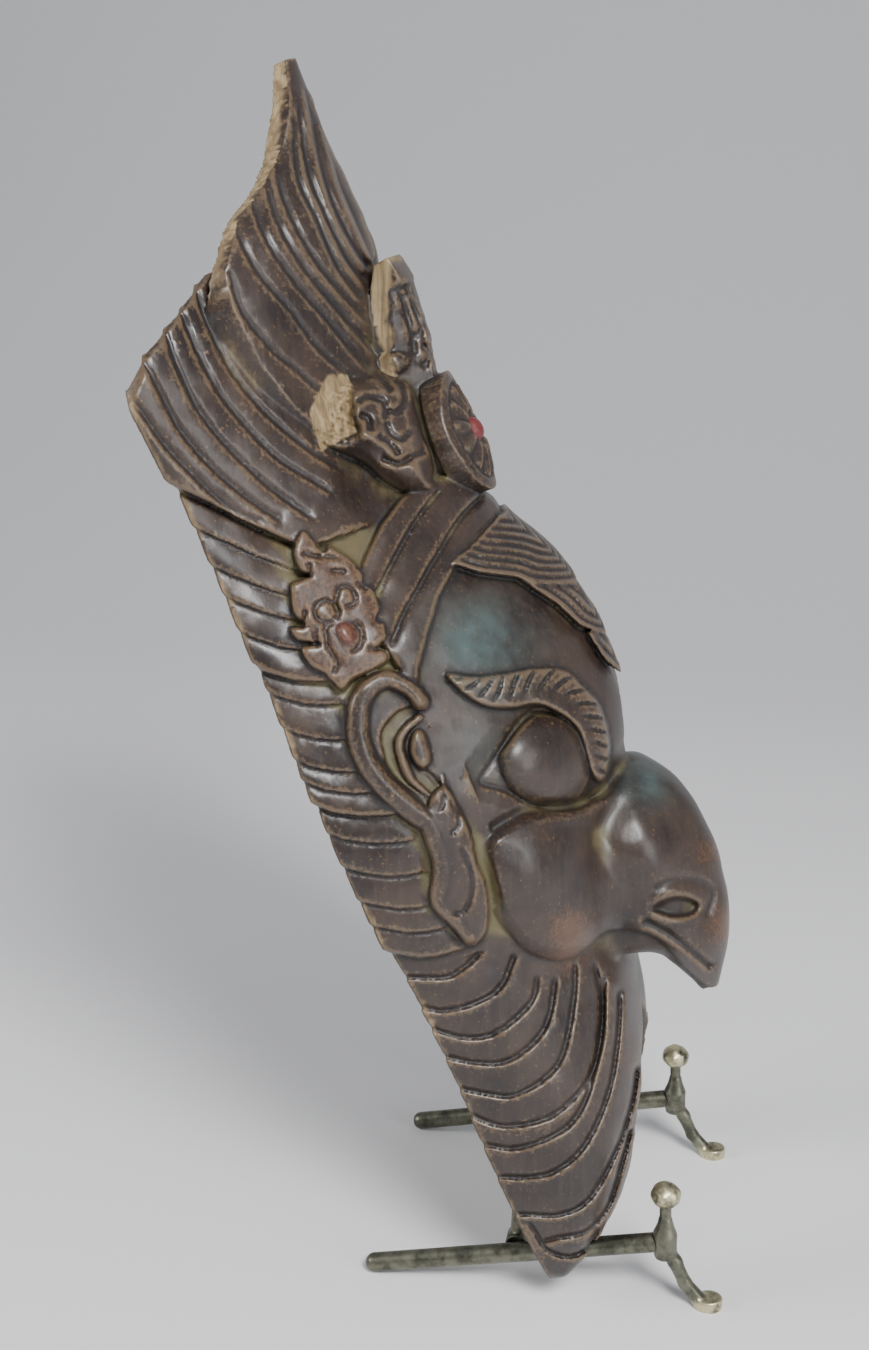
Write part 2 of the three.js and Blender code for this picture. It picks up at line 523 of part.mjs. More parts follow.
// Merges neighbouring facets, flattest first, until the count is reached
function coarsen({ points, faces, middle }, goal) {
  const quadrics = points.map(() => new Float64Array(10));
  const around = points.map(() => new Set());
  const version = new Int32Array(points.length);
  const addPlane = (q, n, d, weight) => {
    const p = [n[0], n[1], n[2], d];
    let m = 0;
    for (let i = 0; i < 4; i++) {
      for (let j = i; j < 4; j++) {
        q[m] += weight * p[i] * p[j];
        m += 1;
      }
    }
  };
  const normalOf = (p, q, r) => {
    const n = crossed(sub(q, p), sub(r, p));
    const size = Math.hypot(...n);
    const longest = Math.max(Math.hypot(...sub(q, p)), Math.hypot(...sub(r, p)), Math.hypot(...sub(r, q)));
    return {
      n: size > 1e-12 ? n.map((c) => c / size) : [0, 0, 0],
      area: size / 2,
      slim: size / 2 / Math.max(1e-12, longest * longest),
    };
  };
  const edgeCount = new Map();
  faces.forEach((face, index) => {
    const [p, q, r] = face.map((i) => points[i]);
    const { n, area } = normalOf(p, q, r);
    face.forEach((i, c) => {
      around[i].add(index);
      addPlane(quadrics[i], n, -dot(n, p), area);
      const next = face[(c + 1) % 3];
      const key = Math.min(i, next) * points.length + Math.max(i, next);
      edgeCount.set(key, (edgeCount.get(key) ?? 0) + 1);
    });
  });
  const heap = [];
  const less = (i, j) => heap[i].cost < heap[j].cost;
  const swap = (i, j) => {
    const held = heap[i];
    heap[i] = heap[j];
    heap[j] = held;
  };
  const push = (item) => {
    heap.push(item);
    let i = heap.length - 1;
    while (i > 0 && less(i, (i - 1) >> 1)) {
      swap(i, (i - 1) >> 1);
      i = (i - 1) >> 1;
    }
  };
  const pop = () => {
    const top = heap[0];
    const last = heap.pop();
    if (heap.length > 0) {
      heap[0] = last;
      let i = 0;
      for (;;) {
        let best = i;
        if (2 * i + 1 < heap.length && less(2 * i + 1, best)) best = 2 * i + 1;
        if (2 * i + 2 < heap.length && less(2 * i + 2, best)) best = 2 * i + 2;
        if (best === i) break;
        swap(i, best);
        i = best;
      }
    }
    return top;
  };
  const costAt = (q, [x, y, z]) => (
    q[0] * x * x + 2 * q[1] * x * y + 2 * q[2] * x * z + 2 * q[3] * x
    + q[4] * y * y + 2 * q[5] * y * z + 2 * q[6] * y + q[7] * z * z + 2 * q[8] * z + q[9]
  );
  const best = (q, i, j) => {
    const flat = middle[i] || middle[j];
    const options = [];
    if (middle[i] === middle[j]) options.push(points[i].map((c, m) => (c + points[j][m]) / 2));
    if (middle[i] || !flat) options.push(points[i]);
    if (middle[j] || !flat) options.push(points[j]);
    const r1 = [q[0], q[1], q[2]];
    const r2 = [q[1], q[4], q[5]];
    const r3 = [q[2], q[5], q[7]];
    const rhs = [-q[3], -q[6], -q[8]];
    if (flat) {
      const det = q[4] * q[7] - q[5] * q[5];
      if (Math.abs(det) > 1e-6 * (q[4] + q[7]) ** 2) {
        options.push([0, (rhs[1] * q[7] - rhs[2] * q[5]) / det, (q[4] * rhs[2] - q[5] * rhs[1]) / det]);
      }
    } else {
      const det = dot(r1, crossed(r2, r3));
      if (Math.abs(det) > 1e-5 * (q[0] + q[4] + q[7]) ** 3) {
        const column = (c) => [r1, r2, r3].map((row, m) => row.map((x, k) => (k === c ? rhs[m] : x)));
        options.push([0, 1, 2].map((c) => {
          const [x, y, z] = column(c);
          return dot(x, crossed(y, z)) / det;
        }));
      }
    }
    const reach = 2 * Math.hypot(...sub(points[i], points[j])) + 1e-6;
    let chosen = null;
    for (const option of options) {
      if (Math.hypot(...sub(option, points[i])) > reach) continue;
      const cost = costAt(q, option);
      if (!chosen || cost < chosen.cost) chosen = { cost, place: option };
    }
    return chosen;
  };
  const neighbours = (i) => {
    const ring = new Set();
    for (const f of around[i]) {
      for (const c of faces[f]) {
        if (c !== i) ring.add(c);
      }
    }
    return ring;
  };
  const offer = (i, j) => {
    const q = quadrics[i].map((x, m) => x + quadrics[j][m]);
    const choice = best(q, i, j);
    if (!choice) return;
    const length = Math.hypot(...sub(points[i], points[j]));
    push({ cost: Math.max(0, choice.cost) + 1e-4 * length, i, j, place: choice.place, stamp: version[i] + version[j] });
  };
  const offerAll = () => {
    for (let i = 0; i < points.length; i++) {
      for (const j of neighbours(i)) {
        if (i < j) offer(i, j);
      }
    }
  };
  offerAll();
  let left = faces.length;
  let leftBefore = left + 1;
  while (left > goal) {
    if (heap.length === 0) {
      if (left === leftBefore) break;
      leftBefore = left;
      offerAll();
    }
    const { i, j, place, stamp } = pop();
    if (version[i] < 0 || version[j] < 0 || version[i] + version[j] !== stamp) continue;
    const shared = [...around[i]].filter((f) => around[j].has(f));
    const ringI = neighbours(i);
    const common = [...neighbours(j)].filter((c) => ringI.has(c));
    const onEdge = middle[i] && middle[j];
    if (onEdge && shared.length !== 1) continue;
    if (shared.length === 0 || common.length !== shared.length) continue;
    let sound = true;
    for (const [from, other] of [[i, j], [j, i]]) {
      for (const f of around[from]) {
        if (faces[f].includes(other)) continue;
        const before = normalOf(...faces[f].map((c) => points[c]));
        const after = normalOf(...faces[f].map((c) => (c === from ? place : points[c])));
        const turned = before.area > 0.01 && dot(before.n, after.n) < 0.3;
        if (turned || after.slim < Math.min(THINNEST_FACET, before.slim)) sound = false;
      }
    }
    if (!sound) continue;
    for (const f of shared) {
      for (const c of faces[f]) around[c].delete(f);
      faces[f] = null;
      left -= 1;
    }
    for (const f of around[j]) {
      faces[f] = faces[f].map((c) => (c === j ? i : c));
      around[i].add(f);
    }
    around[j].clear();
    points[i] = place;
    middle[i] = middle[i] || middle[j];
    quadrics[i] = quadrics[i].map((x, m) => x + quadrics[j][m]);
    version[i] += 1;
    version[j] = -1e9;
    for (const n of neighbours(i)) offer(i, n);
  }
  return { points, faces: faces.filter(Boolean), middle };
}

// Both halves joined on the middle plane, placed in the stand's frame
function maskSolid() {
  const { points, faces, middle } = coarsen(halfSkin(), HALF_MASK_FACETS);
  const right = new Map();
  const left = new Map();
  const positions = [];
  const place = (index, side) => {
    const seen = side > 0 || middle[index] ? right : left;
    if (!seen.has(index)) {
      const [u, v, w] = points[index];
      const x = middle[index] ? 0 : u * side;
      const y = BACK_FOOT_Y + v * Math.sin(LEAN) - w * Math.cos(LEAN);
      const z = BACK_FOOT_Z + v * Math.cos(LEAN) + w * Math.sin(LEAN);
      positions.push(x, y, z);
      seen.set(index, positions.length / 3 - 1);
    }
    return seen.get(index);
  };
  const indices = [];
  for (const [p, q, r] of faces) {
    indices.push(place(p, 1), place(q, 1), place(r, 1));
    indices.push(place(p, -1), place(r, -1), place(q, -1));
  }
  const geometry = new THREE.BufferGeometry();
  geometry.setAttribute('position', new THREE.Float32BufferAttribute(positions, 3));
  geometry.setIndex(indices);
  return toSolid(geometry);
}

function toSolid(geometry) {
  const bare = geometry.clone();
  bare.deleteAttribute('normal');
  bare.deleteAttribute('uv');
  const merged = mergeVertices(bare, 1e-4);
  return new wasm.Manifold(new wasm.Mesh({
    numProp: 3,
    vertProperties: Float32Array.from(merged.attributes.position.array),
    triVerts: Uint32Array.from(merged.index.array),
  }));
}

function fromSolid(solid) {
  const { vertProperties, triVerts } = solid.getMesh();
  const geometry = new THREE.BufferGeometry();
  geometry.setAttribute('position', new THREE.BufferAttribute(Float32Array.from(vertProperties), 3));
  geometry.setIndex([...triVerts]);
  geometry.computeVertexNormals();
  return geometry;
}

const joined = (...solids) => solids.reduce((whole, solid) => whole.add(solid));

// Round bar through the given points
function bar(stations, radius, sides = 10, steps = 6) {
  const path = new THREE.CatmullRomCurve3(stations.map((p) => new THREE.Vector3(...p)));
  const ring = new THREE.Shape();
  ring.absarc(0, 0, radius, 0, Math.PI * 2);
  const geometry = new THREE.ExtrudeGeometry(ring, {
    steps,
    curveSegments: sides / 2,
    bevelEnabled: false,
    extrudePath: path,
  });
  return toSolid(geometry);
}

function ball(x, y, z, radius, squash = 1, sides = 12) {
  const geometry = new THREE.SphereGeometry(radius, sides, Math.ceil(sides * 0.6));
  geometry.rotateX(Math.PI / 2);
  geometry.scale(1, 1, squash);
  geometry.translate(x, y, z);
  return toSolid(geometry);
}

// Side rail, coped at its front end to the collar of its casting
function rail(x, radius = RAIL_RADIUS) {
  const [frontY, frontZ] = RAIL_FRONT;
  const [rearY, rearZ] = RAIL_REAR;
  const cope = new THREE.CylinderGeometry(COLLAR_RADIUS + GAP, COLLAR_RADIUS + GAP, 6 * COLLAR_RADIUS, 24);
  cope.rotateX(Math.PI / 2);
  cope.translate(x, frontY, frontZ);
  const whole = joined(bar([[x, frontY, frontZ], [x, rearY, rearZ]], radius, 12, 1), ball(x, rearY, rearZ, radius));
  const [, behind] = whole.subtract(toSolid(cope)).decompose().map((piece) => [piece.volume(), piece])
    .sort((p, q) => q[0] - p[0])[0];
  return behind;
}

// Front casting of one side: ball finial, neck, collar, splayed leg and flat foot pad
function casting(x) {
  const [y, z] = CASTING_BALL;
  const [railY, railZ] = RAIL_FRONT;
  const collar = new THREE.LatheGeometry([
    [0, -1.3 * COLLAR_RADIUS], [COLLAR_RADIUS * 0.8, -1.3 * COLLAR_RADIUS],
    [COLLAR_RADIUS, -0.55 * COLLAR_RADIUS], [COLLAR_RADIUS, 0.75 * COLLAR_RADIUS],
    [COLLAR_RADIUS * 0.7, 1.5 * COLLAR_RADIUS], [NECK_RADIUS, 2.2 * COLLAR_RADIUS],
    [NECK_RADIUS, z - railZ], [0, z - railZ],
  ].map(([r, h]) => new THREE.Vector2(r, h)), 12);
  collar.rotateX(Math.PI / 2);
  collar.translate(x, railY, railZ);
  const finial = ball(x, y, z, BALL_RADIUS, FINIAL_SQUASH);
  const drop = railZ - FOOT_THICKNESS;
  const stride = railY - FOOT_Y;
  const leg = bar([
    [x, railY, railZ - 0.08 * drop], [x, railY - 0.25 * stride, railZ - 0.38 * drop],
    [x, railY - 0.48 * stride, railZ - 0.77 * drop], [x, FOOT_Y + 0.25 * stride, 0.7 * FOOT_THICKNESS],
  ], LEG_RADIUS, 10, 6);
  const pad = new THREE.CylinderGeometry(FOOT_WIDTH / 2, FOOT_WIDTH / 2 + FOOT_SPLAY, FOOT_THICKNESS, 16);
  pad.rotateX(Math.PI / 2);
  pad.scale(1, FOOT_LENGTH / FOOT_WIDTH, 1);
  pad.translate(x, FOOT_Y, FOOT_THICKNESS / 2);
  return joined(toSolid(collar), finial, leg, toSolid(pad));
}

const maskPoint = (u, v, w) => [
  u,
  BACK_FOOT_Y + v * Math.sin(LEAN) - w * Math.cos(LEAN),
  BACK_FOOT_Z + v * Math.cos(LEAN) + w * Math.sin(LEAN),
];

// Backrest: a bent bar from rail to rail whose top lies in the hollow of the mask
function backrest(extra = 0) {
  const railZ = RAIL_FRONT[1] + ((RAIL_REAR[1] - RAIL_FRONT[1]) * (BACKREST_Y - RAIL_FRONT[0]))
    / (RAIL_REAR[0] - RAIL_FRONT[0]);
  const reach = along(CROWN_HEIGHT, BACKREST_TOP_V) - WALL_AT_CROWN;
  const [, topY, topZ] = maskPoint(0, BACKREST_TOP_V, reach - 1);
  const inner = RAIL_X - RAIL_RADIUS - GAP;
  const radius = BACKREST_RADIUS + extra;
  const sides = [-1, 1].map((side) => {
    const foot = [side * (inner - LUG_RADIUS), BACKREST_Y, railZ];
    const top = [side * BACKREST_TOP_X, topY + BACKREST_BOW_Y, topZ];
    const lugEnds = [[side * inner, BACKREST_Y, railZ], [side * (inner - LUG_LENGTH), BACKREST_Y, railZ]];
    const lug = bar(lugEnds, LUG_RADIUS, 12, 1);
    const upright = bar([foot, top], radius, 10, 1);
    return joined(lug, ball(...foot, LUG_BALL_RADIUS), upright, ball(...top, radius, 1, 10));
  });
  const crossbar = bar([
    [-BACKREST_TOP_X, topY + BACKREST_BOW_Y, topZ], [0, topY, topZ + BACKREST_BOW_Z],
    [BACKREST_TOP_X, topY + BACKREST_BOW_Y, topZ],
  ], radius, 10, 6);
  return joined(...sides, crossbar);
}

function mesh(name, solid, colour, roughness, metalness) {
  const material = new THREE.MeshStandardMaterial({ color: colour, roughness, metalness });
  const part = new THREE.Mesh(fromSolid(solid), material);
  part.name = name;
  return part;
}

const grow = RAIL_RADIUS + GAP;
const railsRoom = joined(rail(RAIL_X, grow), rail(-RAIL_X, grow));
const mask = maskSolid().subtract(railsRoom).subtract(backrest(GAP));

const root = new THREE.Group();
root.name = 'garuda_mask_on_stand';
root.add(mesh('mask', mask, 0x3a2722, 0.5, 0));
root.add(mesh('rail_left', rail(-RAIL_X), 0x3b3d34, 0.45, 0.9));
root.add(mesh('rail_right', rail(RAIL_X), 0x3b3d34, 0.45, 0.9));
root.add(mesh('casting_left', casting(-RAIL_X), 0x6b6248, 0.4, 0.9));
root.add(mesh('casting_right', casting(RAIL_X), 0x6b6248, 0.4, 0.9));
root.add(mesh('backrest', backrest(), 0x33342e, 0.5, 0.9));

root.position.y = -MIDDLE_Y;

export default root;
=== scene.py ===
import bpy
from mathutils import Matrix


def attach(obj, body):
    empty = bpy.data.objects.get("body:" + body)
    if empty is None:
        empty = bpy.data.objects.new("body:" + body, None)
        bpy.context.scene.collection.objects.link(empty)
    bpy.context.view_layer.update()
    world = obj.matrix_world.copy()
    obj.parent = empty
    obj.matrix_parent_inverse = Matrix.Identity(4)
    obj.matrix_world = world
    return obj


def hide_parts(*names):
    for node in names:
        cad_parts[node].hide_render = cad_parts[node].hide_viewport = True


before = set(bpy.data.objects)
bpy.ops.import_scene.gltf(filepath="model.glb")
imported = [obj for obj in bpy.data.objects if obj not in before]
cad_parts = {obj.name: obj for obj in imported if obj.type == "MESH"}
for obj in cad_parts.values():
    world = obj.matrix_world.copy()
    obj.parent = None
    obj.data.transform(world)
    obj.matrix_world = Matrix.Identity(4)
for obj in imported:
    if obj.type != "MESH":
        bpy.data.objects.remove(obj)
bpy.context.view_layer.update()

import itertools
import math

import bmesh
import bpy
import numpy as np
import openvdb
from mathutils import Vector

# Garuda dance mask of carved wood, leaning back on a small metal easel stand.
# Sizes of the carving are in millimetres; the finished meshes are in metres.

MM = 0.001

# Pose of the mask: v runs up its flat back, w runs out of the face, u runs across
LEAN = math.radians(21.5)
BACK_FOOT_Y = 66
BACK_FOOT_Z = 8
MIDDLE_Y = 110.9

# The carving is laid out side-on, as seen from this point beside the mask
SIGHT_U = 706.7
SIGHT_V = 427.1
SIGHT_W = 227.1

# Profiles of the shell against the height v
RIM_HALF_WIDTH = [
    (-2, 70), (5, 73), (14, 77), (30, 81), (63, 87), (100, 88), (122, 88), (174, 96),
    (196, 104), (239, 112), (320, 112), (357, 114), (394, 119), (431, 125), (460, 125),
]
CROWN_HEIGHT = [
    (-2, 9), (5, 21), (14, 33), (30, 46), (63, 60), (83, 66), (106, 70), (140, 74), (180, 84),
    (196, 93), (212, 103), (228, 107), (240, 107), (262, 105.5), (286, 100), (300, 95.5),
    (323, 81), (345, 75), (380, 66), (400, 60), (431, 56), (460, 54),
]
SECTION_POWER = [
    (0, 3), (60, 2.8), (100, 2.3), (140, 1.95), (180, 1.75), (300, 1.7), (340, 1.55),
    (380, 1.35), (431, 1.2),
]
WALL_AT_RIM = 12.5
WALL_AT_CROWN = 16

LOBE_TIP_V = 2
LOBE_ROUNDING = 10
NOTCH_SLOPE = 0.85
NOTCH_HALF_WIDTH = [(-2, 65), (15, 65), (19, 58), (32, 51), (50, 40), (76, 18), (92, -6)]

SIDE_PLUME_TIP_V = 457
SIDE_PLUME_TIP_U = 80
SIDE_PLUME_FALL = 0.51
SIDE_PLUME_CORNER_U = 118
SIDE_PLUME_ROUNDING = 0.06
SIDE_PLUME_EDGE = 3
SIDE_PLUME_SWELL = 0.5

PLUME_HALF_WIDTH = [
    (372, 52), (382, 65), (389, 70), (397, 76), (405, 81), (421, 86), (440, 90), (454, 89),
    (462, 82), (472, 68), (479, 52), (491, 30), (515, 13), (525, 7),
]
PLUME_CENTRE = [(372, 63), (408, 65), (426, 70), (442, 75), (486, 74), (510, 73), (525, 74)]
PLUME_EDGE = [
    (372, 50), (382, 48), (389, 46), (397, 43), (405, 41), (421, 38), (440, 37.5), (454, 40),
    (462, 44), (472, 47), (479, 55), (491, 62), (510, 70), (525, 72),
]
PLUME_THICKNESS = [
    (372, 34), (430, 26), (445, 10), (458, 7), (480, 6.5), (492, 9), (505, 8.5), (515, 8),
    (525, 6),
]
PLUME_FOOT_V = 372
PLUME_TIP_V = 525

BEAK_FRONT = [
    (88, 101), (96.6, 109), (112.5, 117), (129, 121.5), (152, 124), (173, 122), (189, 116),
    (197, 109), (203, 99),
]
BEAK_BACK = [(88, 95), (98, 91.5), (106, 88), (116, 82), (122, 72), (127, 44), (132, 20)]
BEAK_HALF_WIDTH = [
    (88, 4), (98, 11), (106, 17), (116, 23), (127, 29), (140, 33), (162, 36), (180, 35),
    (193, 30), (212, 20),
]
BEAK_POWER = 2.2
BEAK_TOP_V = 204
BEAK_TIP_V = 89
BEAK_BLEND = 7

# Crest leaf and rosette on the middle line
CREST_HALF_WIDTH = 13
CREST_FRONT_HALF_WIDTH = 5
CREST_LEAF = [
    (378, 60), (400, 60), (414, 63), (426, 69), (438, 76), (439, 83), (427, 86), (404, 85),
    (381, 80),
]
CREST_BREAK = [
    (388, 69), (398, 71), (403, 71), (409, 75), (416, 75), (420, 78), (426, 78), (428, 83),
    (440, 85),
]
ROSETTE_V = 361
ROSETTE_RADIUS = 26.5
ROSETTE_BACK_W = 75
ROSETTE_FACE = [(335, 89), (352, 92), (366, 90.5), (378, 89), (387, 87)]
ROSETTE_DOME = 7.5
ROSETTE_STEM_RADIUS = 23
ROSETTE_STEM_W = 60
ROSETTE_PETALS = 12
PETAL_RISE = 2.2
RING_RADIUS = 21
RING_RISE = 1.6
BEAD_RADIUS = 5.2
BEAD_RISE = 3.6

# Outlines of the carved fields, as height and depth in the side-on layout
LEAF_PLAQUE = [
    (345, 1), (340, -5), (333, -7), (328, -6), (325, -3), (325, -12), (320, -15), (312, -17),
    (305, -14), (306, -21), (300, -20), (295, -11), (296, -20), (287, -19), (281, -14),
    (272, -10), (275, -3), (276, 7), (278, 15), (282, 16), (285, 13), (288, 18), (294, 20),
    (297, 17), (302, 21), (310, 21), (314, 18), (318, 19), (324, 18), (329, 15), (335, 10),
    (333, 7), (337, 5), (343, 3),
]
EAR_FIELD = [
    (261, 23), (268, 21), (273, 14), (274, 2), (268, -8), (260, -14), (248, -17), (236, -18),
    (220, -15), (210, -8), (203, -1), (203, 12), (216, 18), (232, 19), (248, 22),
]
EAR_CREST = [
    (256, 22), (260, 21), (265, 18), (270, 12), (270, 5), (265, -3), (257, -8), (249, -11),
    (237, -12), (225, -9), (214, -4), (206, 1), (200, 5), (192, 5), (182, 4), (174, 1),
    (163, -5), (151, -1), (142, 2),
]
EAR_BOWL = [
    (257, 21), (263, 18), (266, 12), (266, 5), (261, -1), (255, -5), (247, -7), (236, -7),
    (225, -4), (216, 0), (210, 4), (207, 10), (215, 17), (232, 19), (248, 21),
]
EAR_CONCHA = [
    (252, 21), (254, 13), (251, 5), (246, 0), (238, -2), (230, -2), (221, 2), (214, 8),
    (212, 14), (222, 18), (240, 20),
]
EAR_TRAGUS = [(249, 19), (246, 12), (241, 6), (232, 4), (224, 4), (217, 7), (211, 11)]
EAR_KNOB = [
    (244, 15), (240, 11), (234, 8.5), (228, 9.5), (226, 12.5), (229, 16.5), (236, 18),
    (242, 18),
]
EAR_LOBE = [
    (204, 4), (196, 3), (186, 4), (177, 2), (168, -3), (163, -10), (151, -5), (139, 1),
    (138, 4), (143, 11), (153, 16), (165, 19), (178, 19), (190, 21), (204, 20), (215, 18),
    (212, 10),
]
EAR_CUTS = [
    [(226, 10), (222, 14), (214, 16), (208, 15), (204, 11)],
    [(212, 17), (203, 19), (196, 18), (192, 12)],
    [(186, 14), (179, 15), (170, 14), (161, 10), (155, 4), (155, -2)],
]
HEADBAND = [
    (347, 60), (344, 48), (336, 35), (326, 24), (318, 16), (300, 14), (284, 16), (268, 19),
    (261, 23), (270, 27), (284, 37), (298, 48), (309, 61), (318, 75), (323, 85),
    (323, 105), (345, 105), (348, 80),
]
BAND_CUTS = [
    [(342, 66), (333, 51), (320, 35), (309, 23), (304, 18)],
    [(334, 84), (327, 69), (314, 52), (305, 41), (294, 28), (284, 19)],
]
HAIR_TUFTS = [
    [(262, 103), (248, 106), (239, 111), (236, 125), (262, 125)],
    [(293, 84), (278, 95), (266, 101), (259, 109), (254, 125), (290, 125), (291, 100)],
    [
        (310, 58), (302, 68), (295, 82), (289, 90), (284, 104), (282, 125), (326, 125),
        (323, 85), (314, 68),
    ],
]
TUFT_RISES = [4.5, 5.6, 7.0]
TUFT_LOWER_EDGES = [
    [(266, 98), (248, 106), (239, 111), (236, 125)],
    [(296, 82), (278, 95), (266, 101), (259, 109), (254, 125)],
    [(312, 55), (302, 68), (295, 82), (289, 90), (284, 104), (282, 125)],
]
STRAND_SPACING = 3.4
BROW = [
    (264, 38), (259, 49), (256, 62), (254, 76), (249, 88), (240, 93), (229, 97), (215, 96),
    (203, 92), (196, 87), (199, 83), (211, 84), (222, 84), (231, 79), (238, 71), (240, 60),
    (244, 50), (250, 44), (257, 40),
]
BROW_LINE = [
    (263, 39), (253, 47), (248, 56), (247, 66), (245, 76), (240, 85), (231, 90), (218, 91),
    (205, 89), (197, 86),
]
BROW_NOTCHES = 15
EYE = [
    (213, 34), (223, 49), (231, 61), (235, 71), (234, 79), (228, 85), (217, 87), (205, 85),
    (196, 79), (190, 71), (191, 60), (196, 52), (205, 44),
]
EYE_CENTRE = (212, 67)
EYE_RADIUS = 22.5
UPPER_LID = [(212, 32), (223, 47), (233, 60), (238, 71)]
LOWER_LID = [(212, 32), (205, 43), (196, 51), (190, 60), (187, 71), (190, 82)]
CHEEK = [
    (176, 20), (162, 18), (149, 17), (137, 20), (127, 25), (120, 34), (118, 43), (121, 52),
    (126, 64), (122, 77), (114, 85), (98, 92), (84, 104), (84, 140), (200, 140), (206, 112),
    (196, 92), (190, 73), (193, 56), (192, 41), (188, 27),
]
CHEEK_CREASE = [(187, 24), (192, 41), (193, 56), (189, 73), (191, 85), (197, 93), (204, 106)]
CHEEK_BULB = (152, 50)
CHEEK_BULB_RADIUS = 33
BEAK_BULB = (161, 95)
BEAK_BULB_RADIUS = 22
NOSTRIL = [(131, 87), (134, 95), (132, 103), (127, 107), (123, 102), (125, 93)]
NOSTRIL_WING = [(140, 90), (142, 100), (138, 111), (130, 115), (120, 108)]
LIP_LINE = [(127, 80), (122, 86), (114, 92), (104, 98), (95, 103)]
CROWN_LEAF = [
    (378, 23), (387, 25), (396, 32), (402, 42), (401, 52), (400, 60), (394, 70), (387, 75),
    (378, 75), (369, 73), (358, 71), (348, 68), (341, 62), (344, 53), (353, 44), (365, 37),
]
CROWN_BREAK = [
    (401, 47), (396, 46), (389, 44), (384, 42), (376, 41), (374, 22), (392, 24), (404, 38),
]
CROWN_CUTS = [
    [(399, 53), (395, 58), (391, 60), (387, 61)],
    [(392, 65), (387, 66), (381, 64), (379, 60), (381, 56)],
    [(388, 45), (389, 50), (386, 55), (383, 56), (377, 54)],
    [(383, 44), (380, 47), (375, 46)],
    [(377, 54), (371, 54), (367, 58), (369, 63)],
    [(372, 48), (368, 52), (361, 54)],
    [(363, 46), (358, 53), (359, 61), (359, 66)],
    [(392, 71), (380, 70), (368, 69), (352, 68), (345, 62)],
]
CREST_CUTS = [
    [(427, 83), (419, 83), (412, 83), (407, 82), (405, 78)],
    [(401, 80), (398, 82), (394, 80), (393, 77)],
    [(424, 80), (414, 79), (407, 78), (398, 76)],
]
CREST_KNOB = (398, 65)
TIER_EDGES = [
    [(-60, 396), (-44, 381), (-32, 369), (-21, 357), (-12, 348), (0, 337)],
    [(-60, 312), (-47, 300), (-40, 291), (-29, 283), (-19, 279), (0, 274)],
    [(-60, 238), (-42, 224), (-37, 219), (-24, 213), (-13, 210), (0, 207)],
    [(-60, 158), (-36, 145), (-25, 139), (-16, 137), (0, 137)],
]

# Heights of the carving over the ground
TIER_STEP = 6
LEAF_RISE = 7.8
EAR_RISE = 3.5
HELIX_RISE = 9
HELIX_HALF_WIDTH = 6.6
LOBE_RISE = 5.5
BAND_RISE = 5
BROW_RISE = 5.5
EYE_RISE = 7.4
SOCKET_DEPTH = 3
CHEEK_RISE = 5
BULB_RISE = 9
BEAK_BULB_RISE = 3.5
NOSTRIL_DEPTH = 4.5
LIP_DEPTH = 3.2
CROWN_RISE = 17
EDGE_SOFTNESS = 2
GOUGE_SEED = 7
GOUGE_WAVES = [(14, 0.30), (6, 0.16)]

# Where each feather ends inside its tier, and lines that are cut
FEATHER_ENDS = [
    [0.22, 0.43, 0.60, 0.80, 1.0],
    [0.17, 0.43, 0.67, 0.83, 1.0],
    [0.19, 0.42, 0.65, 0.82, 1.0],
]
SIDE_PLUME_CUTS = [
    [(425, -49), (416, -46), (400, -42), (383, -35), (365, -26), (353, -13)],
    [(437, -36), (424, -35), (404, -33), (384, -26), (366, -16), (351, -5)],
    [(447, -22), (431, -23), (411, -22), (393, -17), (373, -8), (358, 1), (347, 9)],
    [(452, -12), (433, -12), (413, -10), (394, -4), (377, 4), (363, 15), (354, 22)],
    [(460, -2), (442, -3), (424, -2), (405, 3), (390, 10), (375, 19), (362, 30)],
]
PLUME_CUTS = [
    [(454, 14), (441, 13), (422, 19), (410, 26), (400, 31), (388, 38)],
    [(471, 24), (453, 26), (434, 33), (416, 38), (404, 44), (392, 51)],
    [(480, 35), (462, 35), (442, 40), (423, 47), (408, 52), (396, 57)],
    [(487, 44), (469, 42), (449, 45), (428, 52), (414, 57), (402, 62)],
    [(492, 50), (472, 48), (449, 51), (429, 58), (417, 63)],
    [(500, 63), (482, 57), (463, 58), (443, 59), (426, 64)],
    [(504, 67), (483, 62), (464, 62), (444, 64), (432, 68)],
    [(508, 73), (482, 68), (460, 67), (436, 71)],
    [(495, 76), (472, 73), (450, 74), (440, 75)],
]
LOBE_CUTS = [
    [(132, -36), (128, -24), (126, -14), (130, -2), (136, 7)],
    [(116, -35), (110, -23), (110, -5), (115, 8), (129, 20)],
    [(102, -31), (95, -21), (92, -8), (96, 6), (104, 19), (116, 26)],
    [(88, -33), (80, -18), (77, -4), (83, 12), (93, 23), (113, 34)],
    [(70, -32), (63, -19), (59, -7), (64, 11), (75, 24), (100, 38), (118, 45)],
    [(57, -33), (49, -25), (44, -15), (43, 2), (48, 16), (58, 30), (74, 42), (95, 50), (116, 53)],
    [(37, -29), (32, -17), (33, 1), (40, 17), (58, 32), (84, 46), (108, 56)],
    [(18, -26), (16, -19), (15, -4), (24, 15), (48, 36), (76, 51), (99, 60)],
    [(-4, -24), (-8, -9), (-4, 7), (14, 26), (40, 45), (60, 55)],
    [(-20, -15), (-20, 0), (-10, 15), (10, 29), (29, 41)],
    [(-15, -24), (-25, -22), (-31, -14), (-30, -4), (-19, 8)],
]
